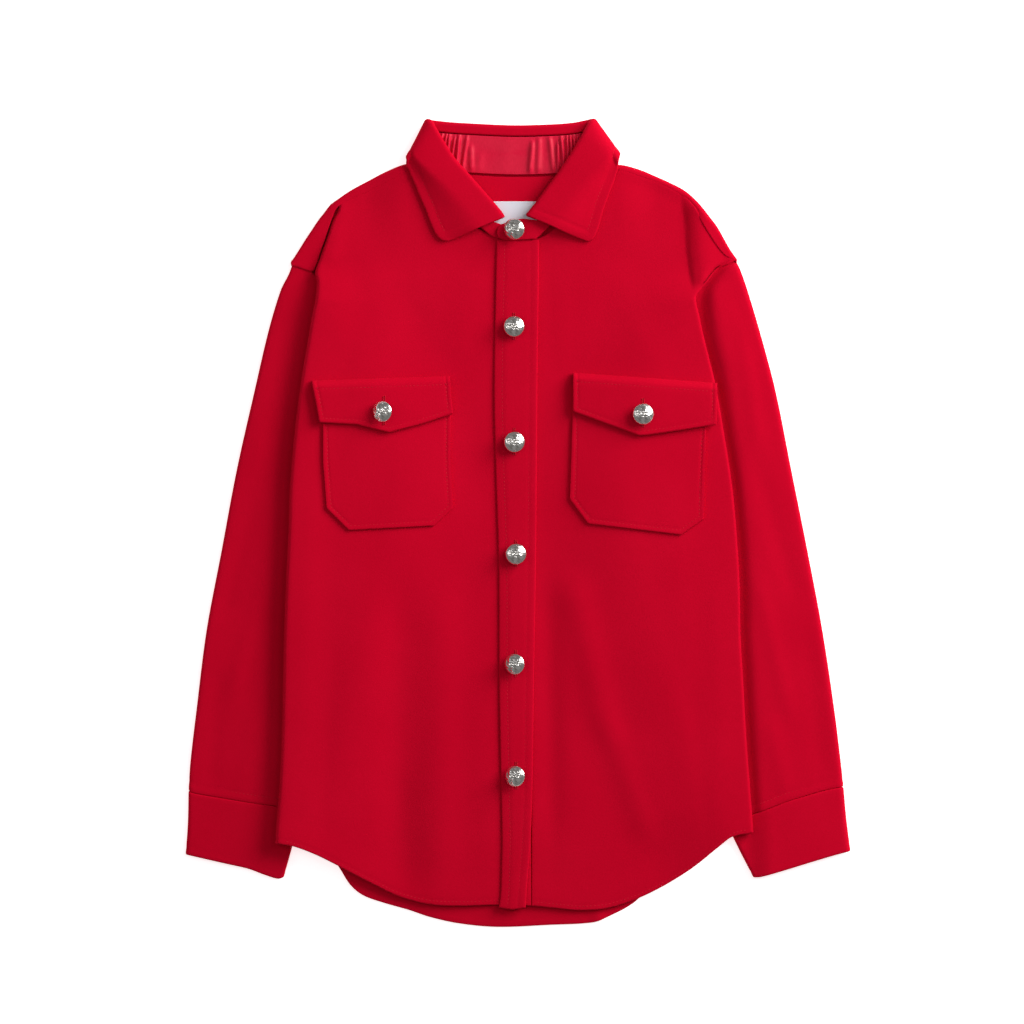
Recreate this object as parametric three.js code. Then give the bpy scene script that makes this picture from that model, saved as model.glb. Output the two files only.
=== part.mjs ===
// A wool shirt-jacket laid flat on its back, buttoned, with both sleeves tucked a little under the body.
// Millimetres. +Z is up from the surface it lies on, +Y runs from the hem to the collar.
// Right and left are the wearer's, so the right side of the garment is at -X.
import * as THREE from "three";

// Cloth and clearances
const CLOTH = 2.6; // heavy felted wool
const COLLAR_CLOTH = 3.2; // two layers of wool, turned and stitched
const CUFF_CLOTH = 3; // doubled cuff
const BAND_CLOTH = 3.4; // placket, doubled
const FLAP_CLOTH = 3.6; // pocket flap, doubled
const SATIN = 0.8;
const SEAM = 0.35; // clear space between two pieces along a seam
const LAY = 0.55; // clear space under a piece that lies on another
const FLAP_STANDS = 1.5; // clear space between a pocket and its flap
const SIDE_SEAM = 0.9; // between the turned edges of back and front, which are held only at the ends

// Hollow between back and fronts
const SLACK = 1.2;
const SIDE_FOLD = { rise: 2.4, width: 48 };
const SHOULDER_FOLD = { rise: 1.2, width: 16 };
const HEM_RISE = { rise: 0.7, width: 36 };

// Sleeve tube
const PRESSED = 2 * CLOTH + 0.4; // height of a sleeve where the body lies on it
const SLEEVE_LOFT = 2.9; // how much higher it is beside the body
const TUCK = { right: { from: 2, width: 30 }, left: { from: 2, width: 15 } };
const LIFT_RAMP = 100; // width over which the body comes down from the sleeve to the floor

// Collar
const ROLL = 2.6; // radius of the roll, at the middle of the cloth
const ROLL_END = 7; // the outer cloth ends this far inside the roll
const COLLAR_LIFT = { height: 3.7, low: 262, high: 336, centre: -7, reach: 107, fade: 40 };

// Metal buttons
const BUTTON = { radius: 10.75, rim: 1.5, dome: 5.4, shank: 3.2, shankRadius: 3.2 };

// A table: the names of its columns, then one row for each section
function table(columns, ...rows) {
  return rows.map((row) => Object.fromEntries(columns.map((name, i) => [name, row[i]])));
}

// Sides of the body, where it ends over the sleeves, from the shoulder tip to the hem.
// The right front ends at rightFront, because the back comes over the shoulder there.
const BODY_SIDE = table(
  ["y", "right", "rightFront", "left"],
  [-400, -242.5, -242.5, 236],
  [-320, -242.5, -242.5, 236],
  [-265, -238.5, -238.5, 232.4],
  [-212, -236, -236, 228.5],
  [-156, -234.8, -234.8, 225.5],
  [-115, -234, -234, 223],
  [-62, -232, -232, 222],
  [-10, -229.5, -229.5, 219],
  [41, -227.5, -227.5, 214],
  [92, -223, -223, 206],
  [140, -215, -215, 198],
  [185, -206.5, -206.5, 187],
  [208, -202, -202, 182],
  [226, -199.5, -199.5, 178.5],
  [236, -200, -200, 185],
  [243, -202, -201.5, 191],
  [249, -205.5, -203, 195.5],
  [254, -214, -202.4, 200],
  [258, -225, -201, 205],
  [262, -227, -199.4, 217],
  [268, -227.3, -197.3, 219],
  [285, -227.3, -191.3, 219],
  [303, -227.3, -185.3, 219],
  [315, -227.3, -179.8, 219],
  [400, -227.3, -179.8, 219],
);

// Fold from which the front slopes down to the shoulder cap, and how high it stands
const RIDGE = table(
  ["y", "right", "left", "strength"],
  [-400, -242.5, 236, 1],
  [226, -199.5, 178.5, 1],
  [244, -202, 176, 1],
  [258, -202.5, 173.5, 0.8],
  [285, -193, 169.5, 0.45],
  [315, -182.5, 166, 0.05],
  [330, -180, 165, 0],
  [400, -180, 165, 0],
);

// Lower edges
const FRONT_HEM = table(
  ["x", "y"],
  [-242.5, -320], [-227, -323], [-206, -331], [-184, -342], [-150, -360], [-121, -374], [-89, -382],
  [-59, -383.5], [-21, -382.5], [7, -383], [40, -386], [64, -388], [94, -385], [133, -371], [173, -348],
  [206, -322], [217, -314], [236, -310],
);
const BACK_HEM = table(
  ["x", "y"],
  [-242.5, -317], [-227, -320], [-206, -327], [-190, -334], [-181, -346], [-171, -362], [-158, -373],
  [-136, -381], [-111, -388], [-90, -395], [-60, -401.5], [-21, -405], [32, -403], [76, -400.5],
  [91, -395], [116, -382], [137, -364], [173, -343], [206, -318], [217, -311], [236, -307],
);

// Upper edges: the outline over the shoulders, the seam on the front of the shoulders, and the neck
const SHOULDER = table(
  ["x", "outline", "seam"],
  [-227.3, 261, 257.8],
  [-222, 268.5, 256.4],
  [-212, 284.5, 253],
  [-204, 296.5, 252.5],
  [-199, 304, 267],
  [-193, 311.5, 285],
  [-187, 319.5, 303],
  [-182, 323, 315],
  [-168, 332.8, 323],
  [-150, 342.6, 331.6],
  [-132, 351.8, 340.5],
  [-112, 359.5, 350.5],
  [-104, 359, 352],
  [96, 358, 351],
  [104, 358.5, 352],
  [122, 353.8, 346.5],
  [137, 347.6, 341.5],
  [152.6, 340.6, 334.5],
  [166.4, 333.2, 325.5],
  [177, 324, 313],
  [183.2, 317, 301.8],
  [190.9, 307.2, 288.8],
  [198.5, 297.2, 277.3],
  [206.2, 283.5, 268.1],
  [212, 273.5, 264.5],
  [219, 264, 262.8],
);
const NECK = table(
  ["x", "back", "front"],
  [-104, 355, 352],
  [-97, 355, 347],
  [-88, 354, 338],
  [-70, 351.5, 317],
  [-45, 349, 296],
  [-24, 347.5, 284.5],
  [-14, 347, 282],
  [14, 347, 282],
  [24, 347.5, 284],
  [42, 348.5, 297],
  [64, 350.5, 319],
  [80, 353, 339],
  [90, 355, 346],
  [96, 355, 351],
);

// Inner edges of the sleeves, hidden under the body, and how high the body lies over them
const HIDDEN_SLEEVE = table(
  ["y", "right", "left", "lift"],
  [-420, -240, 242, PRESSED + 1.3],
  [-356, -235, 237, PRESSED + 1.3],
  [-292, -217, 208, PRESSED + 1.3],
  [-240, -199, 188, PRESSED + LAY + 0.3],
  [-180, -177, 166, PRESSED + LAY],
  [-120, -158, 148, PRESSED + LAY],
  [-60, -142, 132, PRESSED + LAY],
  [0, -130, 120, PRESSED + LAY],
  [53, -128, 118, PRESSED + LAY],
  [120, -148, 134, PRESSED + LAY],
  [160, -168, 150, PRESSED + LAY],
  [190, -186, 164, PRESSED + LAY],
  [208, -197, 174, PRESSED + LAY],
  [217, -201, 179, PRESSED + LAY],
  [223, -204, 184, PRESSED + LAY],
  [236, -205, 190, 3.6],
  [248, -207, 196, 1],
  [260, -210, 200, 0],
  [268, -210, 200, 0],
  [400, -210, 200, 0],
);

// Sleeves and cuffs: plan lines from the armhole to the wrist
const ARM = {
  right: {
    outer: [[-225.6, 255.4], [-230, 248], [-238, 233], [-250, 193], [-264, 133], [-282, 53], [-297, -27], [-312, -107],
      [-322, -187], [-328, -240], [-329.5, -267]],
    inner: [[-128, 53], [-127, 20], [-130, 0], [-142, -60], [-158, -120], [-177, -180], [-199, -240], [-217, -289]],
    armhole: [[-225.6, 255.4], [-214.5, 252.3], [-207.2, 249.2], [-203.6, 243], [-201.6, 235], [-201, 226], [-197, 208],
      [-186, 190], [-168, 160], [-148, 120], [-133, 80], [-128, 53]],
    seam: [[-329.5, -267], [-327, -270], [-294, -276], [-263, -281], [-241, -284], [-217, -289]],
    cuffOuter: [[-329, -268], [-330.5, -300], [-333, -332]],
    cuffInner: [[-217, -290], [-226, -323], [-235, -354.5]],
    cuffEdge: [[-333, -332], [-294, -341], [-270, -346.5], [-254, -352.5], [-240, -356.5], [-235, -354.5]],
  },
  left: {
    outer: [[218.6, 260], [222.6, 253], [230, 233], [242, 193], [258, 133], [274, 53], [290, -27], [305, -107],
      [317, -187], [323.5, -240], [326, -264]],
    inner: [[118, 53], [117, 20], [120, 0], [132, -60], [148, -120], [166, -180], [188, -240], [208, -299]],
    armhole: [[218.6, 260], [207, 257.6], [201.6, 253.2], [196.6, 247.2], [192.4, 241], [187, 234], [182.5, 224],
      [178.5, 208], [167, 190], [151, 160], [134, 120], [122, 80], [118, 53]],
    seam: [[326, -264], [310, -267], [292, -272], [269, -279], [250, -286.5], [236, -291.5], [208, -299]],
    cuffOuter: [[325.4, -265], [329, -297], [333, -328.5]],
    cuffInner: [[208, -300], [222, -328], [236, -355]],
    cuffEdge: [[333, -328.5], [319, -332], [292, -340], [266, -348], [243, -354.5], [236, -355]],
  },
};

// Placket: its free edge and its seam
const PLACKET = table(
  ["y", "free", "seam"],
  [-390, -20, 7.5],
  [-372, -17.5, 8.5],
  [-340, -16.5, 11],
  [-319, -16, 12.5],
  [-266, -17, 14.5],
  [-161, -19, 16],
  [-39, -19.5, 18],
  [73, -23, 19],
  [143, -24, 19.5],
  [259, -22, 21],
  [282, -21.5, 21],
);
const PLACKET_END = -385;
const UNDERLAP = 13; // the right front ends here, under the placket

// Breast pockets: corners from the upper left, as the photograph's viewer sees them
const POCKETS = {
  right: {
    top: [[-196.4, 131], [-67, 136]],
    foot: [[-194.5, 60], [-191, 14], [-169, -7.5], [-84, -3], [-65, 15], [-67.5, 60]],
    flapTop: [[-206, 142], [-68, 147.5]],
    flapFoot: [[-206, 142], [-201.5, 120], [-198, 100], [-161, 98], [-129, 90], [-97, 98.5], [-65, 109], [-67, 128],
      [-68, 147.5]],
  },
  left: {
    top: [[55, 138], [191, 131]],
    foot: [[53, 48], [52, 23], [70, -1], [163, -12], [185.5, 4], [187, 60]],
    flapTop: [[55, 150.5], [199, 140]],
    flapFoot: [[55, 150.5], [55, 130], [55, 111], [88, 99], [121, 87], [129, 87.5], [160, 92], [198, 98], [198.5, 120],
      [199, 140]],
  },
};

// Buttons: place, and the way each leans on its shank
const BUTTONS = table(
  ["name", "x", "y", "leanX", "leanY"],
  ["button_1", -2.7, 294, -0.16, -0.12],
  ["button_2", -3.9, 196.4, 0, 0.02],
  ["button_3", -3.6, 81, 0.02, 0],
  ["button_4", -2, -31, 0, 0],
  ["button_5", -2, -141, -0.22, 0],
  ["button_6", -1.5, -253, -0.24, 0.02],
  ["pocket_button_right", -133.5, 111, -0.24, 0],
  ["pocket_button_left", 124.8, 108.7, 0, 0],
);

// Collar stations from the wearer's right front, round the neck, to the left front: the outside of the
// roll, the direction of the leaf from it, the leaf's length, its turn from lying on the front (0) over
// the neck side (90) to lying under the back (180), the height of the roll's middle, and the stand's length
const COLLAR = table(
  ["x", "y", "dx", "dy", "leaf", "turn", "z", "stand"],
  [-12.5, 306, -62, -25.5, 66, 0, 12.4, 27],
  [-17.5, 313, -64.5, -26, 69, 0, 12.8, 27],
  [-26, 323, -62, -22, 66, 0, 13.4, 27],
  [-37, 335.5, -56, -22.5, 60, 0, 14.2, 27],
  [-48, 348, -50, -22, 55, 0, 15, 27],
  [-63, 365, -41, -25, 48, 0, 15.6, 29],
  [-75, 384, -34, -33, 47, 0, 15.6, 34],
  [-81, 394, -31, -37, 48, 4, 15.2, 36],
  [-85.5, 401.5, -26, -40.5, 46, 35, 13.8, 34],
  [-87.6, 403.6, -22, -41, 45, 65, 11.6, 36],
  [-88.4, 404, -19, -41, 44.5, 90, 9.4, 36],
  [-87.6, 404, -16, -41, 45, 115, 7.2, 36],
  [-85.8, 403.6, -13, -41, 46, 145, 5.2, 40],
  [-81, 403, -9, -42, 49, 176, 4.2, 45],
  [-66, 401.5, -5, -42, 54, 180, 4.2, 49],
  [-40, 400, -2, -42, 58, 180, 4.2, 50],
  [-3, 398.5, 0, -42, 60, 180, 4.2, 50],
  [34, 399.5, 2, -42, 58, 180, 4.2, 50],
  [54, 401, 5, -42, 54, 180, 4.2, 49],
  [65, 403, 9, -42, 49, 176, 4.2, 45],
  [70, 404, 14, -41, 46, 145, 5.2, 40],
  [72, 404.3, 19, -39, 45, 115, 7.2, 36],
  [73, 404, 24, -35, 45, 90, 9.4, 36],
  [72.3, 403, 27, -36, 46, 65, 11.6, 36],
  [70, 400, 30, -38, 48, 35, 13.8, 34],
  [65.5, 391.5, 33, -34, 50, 4, 15.2, 36],
  [59.5, 381, 38, -33, 51, 0, 15.6, 34],
  [49.5, 365, 45, -29, 53, 0, 15.6, 29],
  [38, 348, 50, -26, 57, 0, 15.2, 27],
  [28, 335, 56, -26, 62, 0, 15, 27],
  [19.5, 323, 61, -26, 67, 0, 14.8, 27],
  [12.5, 314, 64, -26, 70, 0, 14.6, 27],
  [7, 307.5, 66, -27, 71, 0, 14.4, 27],
);

// Front ends of the stand, past the collar leaves: its upper and lower edge, and the middle of its cloth
const STAND_END = {
  right: table(
    ["topX", "topY", "footX", "footY", "z"],
    [10, 301.5, 10, 283, 8],
    [0, 301.5, 0, 283, 8],
    [-10, 301, -14, 283.5, 8],
    [-17, 299, -27, 287, 8.6],
  ),
  left: table(
    ["topX", "topY", "footX", "footY", "z"],
    [5, 304.5, 18, 284, 11.6],
    [-4, 303, 2, 283, 11.4],
    [-12, 300.5, -12, 282.8, 11.4],
    [-18, 297.5, -18.5, 285, 11.4],
    [-21, 293.5, -21.5, 289, 11.4],
  ),
};

// Neck lining and label
const LINING = { from: 13.4, to: 18.6, start: 12.2, end: 49.6, pleats: 30, pleatHeight: 0.5 };
const LABEL = { left: -33, right: 27, low: 297, high: 322 };

// Largest soft folds: a line, its half width, and how far it rises (or sinks) from the fronts
const FOLDS = table(
  ["x1", "y1", "x2", "y2", "width", "rise"],
  [-116, -262, -108, -372, 15, -0.7],
  [34, -90, 34, -350, 11, -0.6],
  [92, -217, 134, -318, 13, -0.6],
  [116, -212, 152, -300, 16, 0.8],
  [-150, -60, -172, -250, 22, 0.6],
  [-45, 250, -60, 170, 16, 0.6],
  [150, 40, 168, -120, 20, 0.5],
);
// Kink in the back's hem, which stands off the floor there
const HEM_KINK = { x: 82, y: -404, width: 7, length: 24, rise: 2.6 };

const step = (t) => {
  const s = Math.min(Math.max(t, 0), 1);
  return s * s * (3 - 2 * s);
};
const mix = (a, b, t) => a + (b - a) * t;
const radians = (degrees) => (degrees * Math.PI) / 180;

// A smooth curve through number pairs, level with its end pairs outside them
function through(pairs) {
  const p = [...pairs].sort((a, b) => a[0] - b[0]);
  const last = p.length - 1;
  const slope = p.map((_, i) => {
    const a = p[Math.max(i - 1, 0)];
    const b = p[Math.min(i + 1, last)];
    return (b[1] - a[1]) / (b[0] - a[0]);
  });
  return (t) => {
    if (t <= p[0][0]) return p[0][1];
    if (t >= p[last][0]) return p[last][1];
    const i = p.findIndex((pair) => pair[0] > t) - 1;
    const h = p[i + 1][0] - p[i][0];
    const s = (t - p[i][0]) / h;
    const rise = p[i][1] * (1 + 2 * s) * (1 - s) ** 2 + p[i + 1][1] * (3 - 2 * s) * s * s;
    return rise + h * (slope[i] * s * (1 - s) ** 2 - slope[i + 1] * (1 - s) * s * s);
  };
}
const column = (rows, key, name) => through(rows.map((row) => [row[key], row[name]]));

// A plan line through points, smooth or with straight sides, as a function of the share of its length
function line(points, smooth = true) {
  const along = [0];
  points.slice(1).forEach((p, i) => along.push(along[i] + Math.hypot(p[0] - points[i][0], p[1] - points[i][1])));
  const share = along.map((length) => length / along.at(-1));
  if (smooth) {
    const [x, y] = [0, 1].map((k) => through(points.map((p, i) => [share[i], p[k]])));
    return Object.assign((t) => [x(t), y(t)], { share, span: along.at(-1) });
  }
  const straight = (t) => {
    const i = Math.min(Math.max(share.findIndex((s) => s >= t) - 1, 0), points.length - 2);
    const s = (t - share[i]) / (share[i + 1] - share[i]);
    return [mix(points[i][0], points[i + 1][0], s), mix(points[i][1], points[i + 1][1], s)];
  };
  return Object.assign(straight, { share, span: along.at(-1) });
}

const side = {
  right: column(BODY_SIDE, "y", "right"),
  rightFront: column(BODY_SIDE, "y", "rightFront"),
  left: column(BODY_SIDE, "y", "left"),
};
const ridge = { right: column(RIDGE, "y", "right"), left: column(RIDGE, "y", "left") };
const ridgeStrength = column(RIDGE, "y", "strength");
const frontHem = column(FRONT_HEM, "x", "y");
const backHem = column(BACK_HEM, "x", "y");
const outline = column(SHOULDER, "x", "outline");
const shoulderSeam = column(SHOULDER, "x", "seam");
const neckBack = column(NECK, "x", "back");
const neckFront = column(NECK, "x", "front");
const hiddenSleeve = { right: column(HIDDEN_SLEEVE, "y", "right"), left: column(HIDDEN_SLEEVE, "y", "left") };
const sleeveLift = column(HIDDEN_SLEEVE, "y", "lift");

// Height of the back's underside: over the hidden part of the sleeves and over the back of the collar
function lift(x, y) {
  const overRight = step((hiddenSleeve.right(y) + LIFT_RAMP - x) / LIFT_RAMP);
  const overLeft = step((x - hiddenSleeve.left(y) + LIFT_RAMP) / LIFT_RAMP);
  const c = COLLAR_LIFT;
  const overCollar = step((y - c.low) / (c.high - c.low)) * (1 - step((Math.abs(x - c.centre) - c.reach) / c.fade));
  const k = HEM_KINK;
  const kink = k.rise * Math.exp(-(((x - k.x) / k.width) ** 2)) * step(1 - (y - k.y) / k.length);
  return sleeveLift(y) * (overRight + overLeft) + c.height * overCollar + kink;
}

// One soft fold: highest along its line, fading to both sides and to both ends
function fold(f, x, y) {
  const dx = f.x2 - f.x1;
  const dy = f.y2 - f.y1;
  const share = ((x - f.x1) * dx + (y - f.y1) * dy) / (dx * dx + dy * dy);
  const off = Math.abs((x - f.x1) * dy - (y - f.y1) * dx) / Math.hypot(dx, dy);
  return f.rise * Math.exp(-((off / f.width) ** 2)) * step(share / 0.3 + 0.5) * step((1 - share) / 0.3 + 0.5);
}

// Hollow between back and front
function loft(x, y) {
  const inRight = x - ridge.right(y);
  const inLeft = ridge.left(y) - x;
  const rise = (inside) => step(inside > 0 ? 1 - inside / SIDE_FOLD.width : 1 + inside / 6);
  const sides = SIDE_FOLD.rise * ridgeStrength(y) * (rise(inRight) + rise(inLeft));
  const under = (outline(x) - y) * 0.85;
  const shoulders = Math.abs(x) > 96 && y > 200 ? SHOULDER_FOLD.rise * step(1 - under / SHOULDER_FOLD.width) : 0;
  const hem = HEM_RISE.rise * step(1 - (y - frontHem(x)) / HEM_RISE.width);
  return SLACK + sides + shoulders + hem + FOLDS.reduce((sum, f) => sum + fold(f, x, y), 0);
}
const frontTop = (x, y) => lift(x, y) + loft(x, y) + 2 * CLOTH;

// One closed body between two sheets of points with the same rows and columns. A ring's columns close on
// themselves. The faces are turned to point out of the body.
function solid(outer, inner, ring = false) {
  const rows = outer.length;
  const columns = outer[0].length;
  const points = [...outer.flat(), ...inner.flat()];
  const at = (sheet, i, j) => sheet * rows * columns + i * columns + (j % columns);
  const faces = [];
  const quad = (a, b, c, d) => faces.push([a, b, c], [a, c, d]);
  const spans = ring ? columns : columns - 1;
  for (let i = 0; i < rows - 1; i++) {
    for (let j = 0; j < spans; j++) {
      quad(at(0, i, j), at(0, i, j + 1), at(0, i + 1, j + 1), at(0, i + 1, j));
      quad(at(1, i, j), at(1, i + 1, j), at(1, i + 1, j + 1), at(1, i, j + 1));
    }
    if (!ring) {
      quad(at(0, i, 0), at(0, i + 1, 0), at(1, i + 1, 0), at(1, i, 0));
      quad(at(0, i, spans), at(1, i, spans), at(1, i + 1, spans), at(0, i + 1, spans));
    }
  }
  for (let j = 0; j < spans; j++) {
    quad(at(0, 0, j), at(1, 0, j), at(1, 0, j + 1), at(0, 0, j + 1));
    quad(at(0, rows - 1, j), at(0, rows - 1, j + 1), at(1, rows - 1, j + 1), at(1, rows - 1, j));
  }
  const [a, b, c] = [new THREE.Vector3(), new THREE.Vector3(), new THREE.Vector3()];
  const volume = faces.reduce((sum, f) => {
    [a, b, c].forEach((v, k) => v.set(...points[f[k]]));
    return sum + a.dot(b.cross(c));
  }, 0);
  const index = volume > 0 ? faces : faces.map((f) => [f[0], f[2], f[1]]);
  const geometry = new THREE.BufferGeometry();
  geometry.setAttribute("position", new THREE.Float32BufferAttribute(points.flat(), 3));
  geometry.setIndex(index.flat());
  geometry.computeVertexNormals();
  return geometry;
}

// Shares of the length from the top to the hem, closer where the neck and armhole need it
const ROWS = [0, 0.014, 0.028, 0.044, 0.062, 0.084, 0.108, 0.14, 0.18, 0.24, 0.31, 0.39, 0.48, 0.57, 0.66, 0.75, 0.84,
  0.92, 0.97, 1];
const FRONT_COLUMNS = [0, 0.06, 0.14, 0.22, 0.3, 0.38, 0.46, 0.54, 0.62, 0.7, 0.78, 0.86, 0.94, 1];
const TURN = [30, 60, 90];

// A front: from its centre edge across to the fold at its side, which turns down to the side seam
function front(name, centre, sideEdge, sideTop) {
  const inward = Math.sign(centre - sideTop);
  const top = (x) => (x > -104 && x < 96 ? neckFront(x) : shoulderSeam(x)) - 2 * SEAM;
  const outer = [];
  const inner = [];
  for (const v of ROWS) {
    const outerRow = [];
    const innerRow = [];
    const place = (u) => {
      const y = mix(top(mix(centre, sideTop, u)), frontHem(mix(centre, sideEdge(-400), u)), v);
      const edge = sideEdge(y);
      const r = (frontTop(edge, y) - lift(edge, y) - SIDE_SEAM) / 2;
      return { x: mix(centre, edge + inward * r, u), y, r };
    };
    for (const u of FRONT_COLUMNS) {
      const { x, y } = place(u);
      const z = frontTop(x, y);
      outerRow.push([x, y, z]);
      innerRow.push([x, y, z - CLOTH]);
    }
    const { x, y, r } = place(1);
    const z = frontTop(x, y) - r;
    for (const angle of TURN.map(radians)) {
      outerRow.push([x - inward * r * Math.sin(angle), y, z + r * Math.cos(angle)]);
      innerRow.push([x - inward * (r - CLOTH) * Math.sin(angle), y, z + (r - CLOTH) * Math.cos(angle)]);
    }
    outer.push(outerRow);
    inner.push(innerRow);
  }
  return { name, outer, inner };
}

// The back: from the seam on the front of each shoulder, over the shoulder, and down to the hem. Its
// sides turn up to the side seams.
const BACK_COLUMNS = [0, 0.03, 0.06, 0.096, 0.13, 0.17, 0.21, 0.258, 0.272, 0.286, 0.33, 0.39, 0.45, 0.51, 0.57, 0.63,
  0.68, 0.716, 0.73, 0.742, 0.78, 0.82, 0.86, 0.885, 0.91, 0.935, 0.965, 1];
const OVER = [1, 1, 0.75, 0.5, 0.25, 0]; // share of the half turn over the shoulder, row by row
function back() {
  const outer = [];
  const inner = [];
  const topX = (u) => mix(-223, 215, u);
  const over = (x) => Math.max(step((-97 - x) / 9), step((x - 90) / 8));
  const shoulderRadius = (x) => (frontTop(x, outline(x) - 4) - lift(x, outline(x) - 4)) / 2;
  const topY = (x) => mix(neckBack(x) - SEAM - 1.25, outline(x) - shoulderRadius(x), over(x));
  OVER.forEach((turn, k) => {
    const xs = [-227.3, -226, -224.6, ...BACK_COLUMNS.map(topX), 216.5, 218, 219.2];
    const rowAt = (deep) =>
      xs.map((x) => {
        const share = over(x);
        const r = shoulderRadius(x);
        const angle = radians(-90 + 180 * share * turn);
        const reach = r - deep;
        const flat = k === 0 ? (outline(x) - r - shoulderSeam(x)) * share ** 4 : 0;
        const squeeze = 0.25 * (OVER.length - 1 - k) * (1 - share);
        const y = topY(x) + reach * Math.cos(angle) - flat + squeeze;
        return [x, y, lift(x, topY(x)) + r + reach * Math.sin(angle)];
      });
    outer.push(rowAt(0));
    inner.push(rowAt(CLOTH));
  });
  for (const v of ROWS.slice(1)) {
    const turned = [...TURN].reverse().map((a) => [0, a]);
    const spots = [...turned, ...BACK_COLUMNS.map((u) => [u, 0]), ...TURN.map((a) => [1, a])];
    const rowAt = (deep) =>
      spots.map(([u, degrees]) => {
        const y = mix(topY(topX(u)), backHem(mix(-242, 236, u)), v);
        const edges = [side.right(y), side.left(y)];
        const radius = edges.map((x) => (frontTop(x, y) - lift(x, y) - SIDE_SEAM) / 2);
        const x = mix(edges[0] + radius[0], edges[1] - radius[1], u);
        if (!degrees) return [x, y, lift(x, y) + deep];
        const bend = 1 - step((y - 243) / 12);
        const r = radius[u];
        const angle = radians(degrees);
        const out = mix(r, r - deep, bend) * Math.sin(angle);
        return [x + (u ? out : -out), y, lift(x, y) + deep + (r - deep) * (1 - Math.cos(angle)) * bend];
      });
    outer.push(rowAt(0));
    inner.push(rowAt(CLOTH));
  }
  return { name: "back", outer, inner };
}

// A plan patch between four lines, as shares across (s) and along (v)
function patch(near, far, head, foot) {
  const corner = [head(0), head(1), foot(0), foot(1)];
  return (s, v) =>
    [0, 1].map(
      (k) =>
        mix(near(v)[k], far(v)[k], s) +
        mix(head(s)[k], foot(s)[k], v) -
        mix(mix(corner[0][k], corner[1][k], s), mix(corner[2][k], corner[3][k], s), v),
    );
}

// A flattened tube: a round fold at each edge, a flat lower wall, and an upper wall of height top(x, y)
const ACROSS = [0.08, 0.18, 0.3, 0.43, 0.57, 0.72, 0.88];
const FOLD_TURN = [-90, -50, 0, 50, 90];
function tube(plan, alongShares, cloth, top) {
  const outer = [];
  const inner = [];
  for (const v of alongShares) {
    const [a, b] = [plan(0, v), plan(1, v)];
    const width = Math.hypot(b[0] - a[0], b[1] - a[1]);
    const radius = [top(...plan(0.04, v)) / 2, top(...plan(0.96, v)) / 2];
    const first = radius[0] / width;
    const last = 1 - radius[1] / width;
    const ringAt = (deep) => {
      const turn = (k, sign) => (degrees) => {
        const r = radius[k] - deep;
        const angle = radians(degrees);
        const s = (k ? last : first) + (sign * r * Math.cos(angle)) / width;
        return [...plan(s, v), radius[k] + r * Math.sin(angle)];
      };
      const across = ACROSS.map((share) => mix(first, last, share)).map((s) => plan(s, v));
      const upper = across.map(([x, y]) => [x, y, top(x, y) - deep]);
      const lower = across.map(([x, y]) => [x, y, deep]).reverse();
      const nearFold = FOLD_TURN.map(turn(0, -1));
      const farFold = [...FOLD_TURN].reverse().map(turn(1, 1));
      return [...nearFold, ...upper, ...farFold, ...lower];
    };
    outer.push(ringAt(0));
    inner.push(ringAt(cloth));
  }
  return { outer, inner, ring: true };
}

const SLEEVE_ROWS = [0, 0.03, 0.07, 0.12, 0.18, 0.26, 0.35, 0.45, 0.55, 0.65, 0.75, 0.84, 0.93, 1];
const CUFF_ROWS = [0, 0.25, 0.5, 0.75, 1];
function arm(which) {
  const a = ARM[which];
  const tuck = TUCK[which];
  const edge = which === "right" ? side.rightFront : side.left;
  const sign = which === "right" ? -1 : 1;
  const beside = (x, y) => step((sign * (x - edge(y)) - tuck.from) / tuck.width);
  const sleevePlan = patch(line(a.outer), line(a.inner), line(a.armhole), line(a.seam));
  const sleeve = tube(sleevePlan, SLEEVE_ROWS, CLOTH, (x, y) => PRESSED + SLEEVE_LOFT * beside(x, y));
  const head = a.seam.map(([x, y]) => [x, y - SEAM]);
  const cuffOuter = [head[0], ...a.cuffOuter.slice(1)];
  const cuffInner = [head.at(-1), ...a.cuffInner.slice(1)];
  const cuffPlan = patch(line(cuffOuter), line(cuffInner), line(head), line(a.cuffEdge));
  const cuffTop = (x, y) => 2 * CUFF_CLOTH + 0.4 + 1.3 * beside(x, y);
  const cuff = tube(cuffPlan, CUFF_ROWS, CUFF_CLOTH, cuffTop);
  return [
    { name: `sleeve_${which}`, ...sleeve },
    { name: `cuff_${which}`, ...cuff },
  ];
}

// A slab that follows a surface under it: rows of plan points, the height of its underside, its thickness
function slab(name, plan, under, thickness) {
  const outer = plan.map((row) => row.map(([x, y]) => [x, y, under(x, y) + thickness]));
  const inner = plan.map((row) => row.map(([x, y]) => [x, y, under(x, y)]));
  return { name, outer, inner };
}

// Plan points between an upper line and a lower line with corners, none further apart than spacing
function cornered(head, foot, rows, spacing = 16) {
  const [top, bottom] = [line(head, false), line(foot, false)];
  const shares = [0];
  bottom.share.slice(1).forEach((share, i) => {
    const from = bottom.share[i];
    const count = Math.ceil(((share - from) * bottom.span) / spacing);
    for (let k = 1; k <= count; k++) shares.push(mix(from, share, k / count));
  });
  const xStart = head[0][0];
  const xEnd = head[1][0];
  return rows.map((v) =>
    shares.map((s) => {
      const below = bottom(s);
      const above = top(Math.min(Math.max((below[0] - xStart) / (xEnd - xStart), 0), 1));
      const even = top(s);
      return [0, 1].map((k) => mix(mix(above[k], even[k], 0.5), below[k], v));
    }),
  );
}

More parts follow.
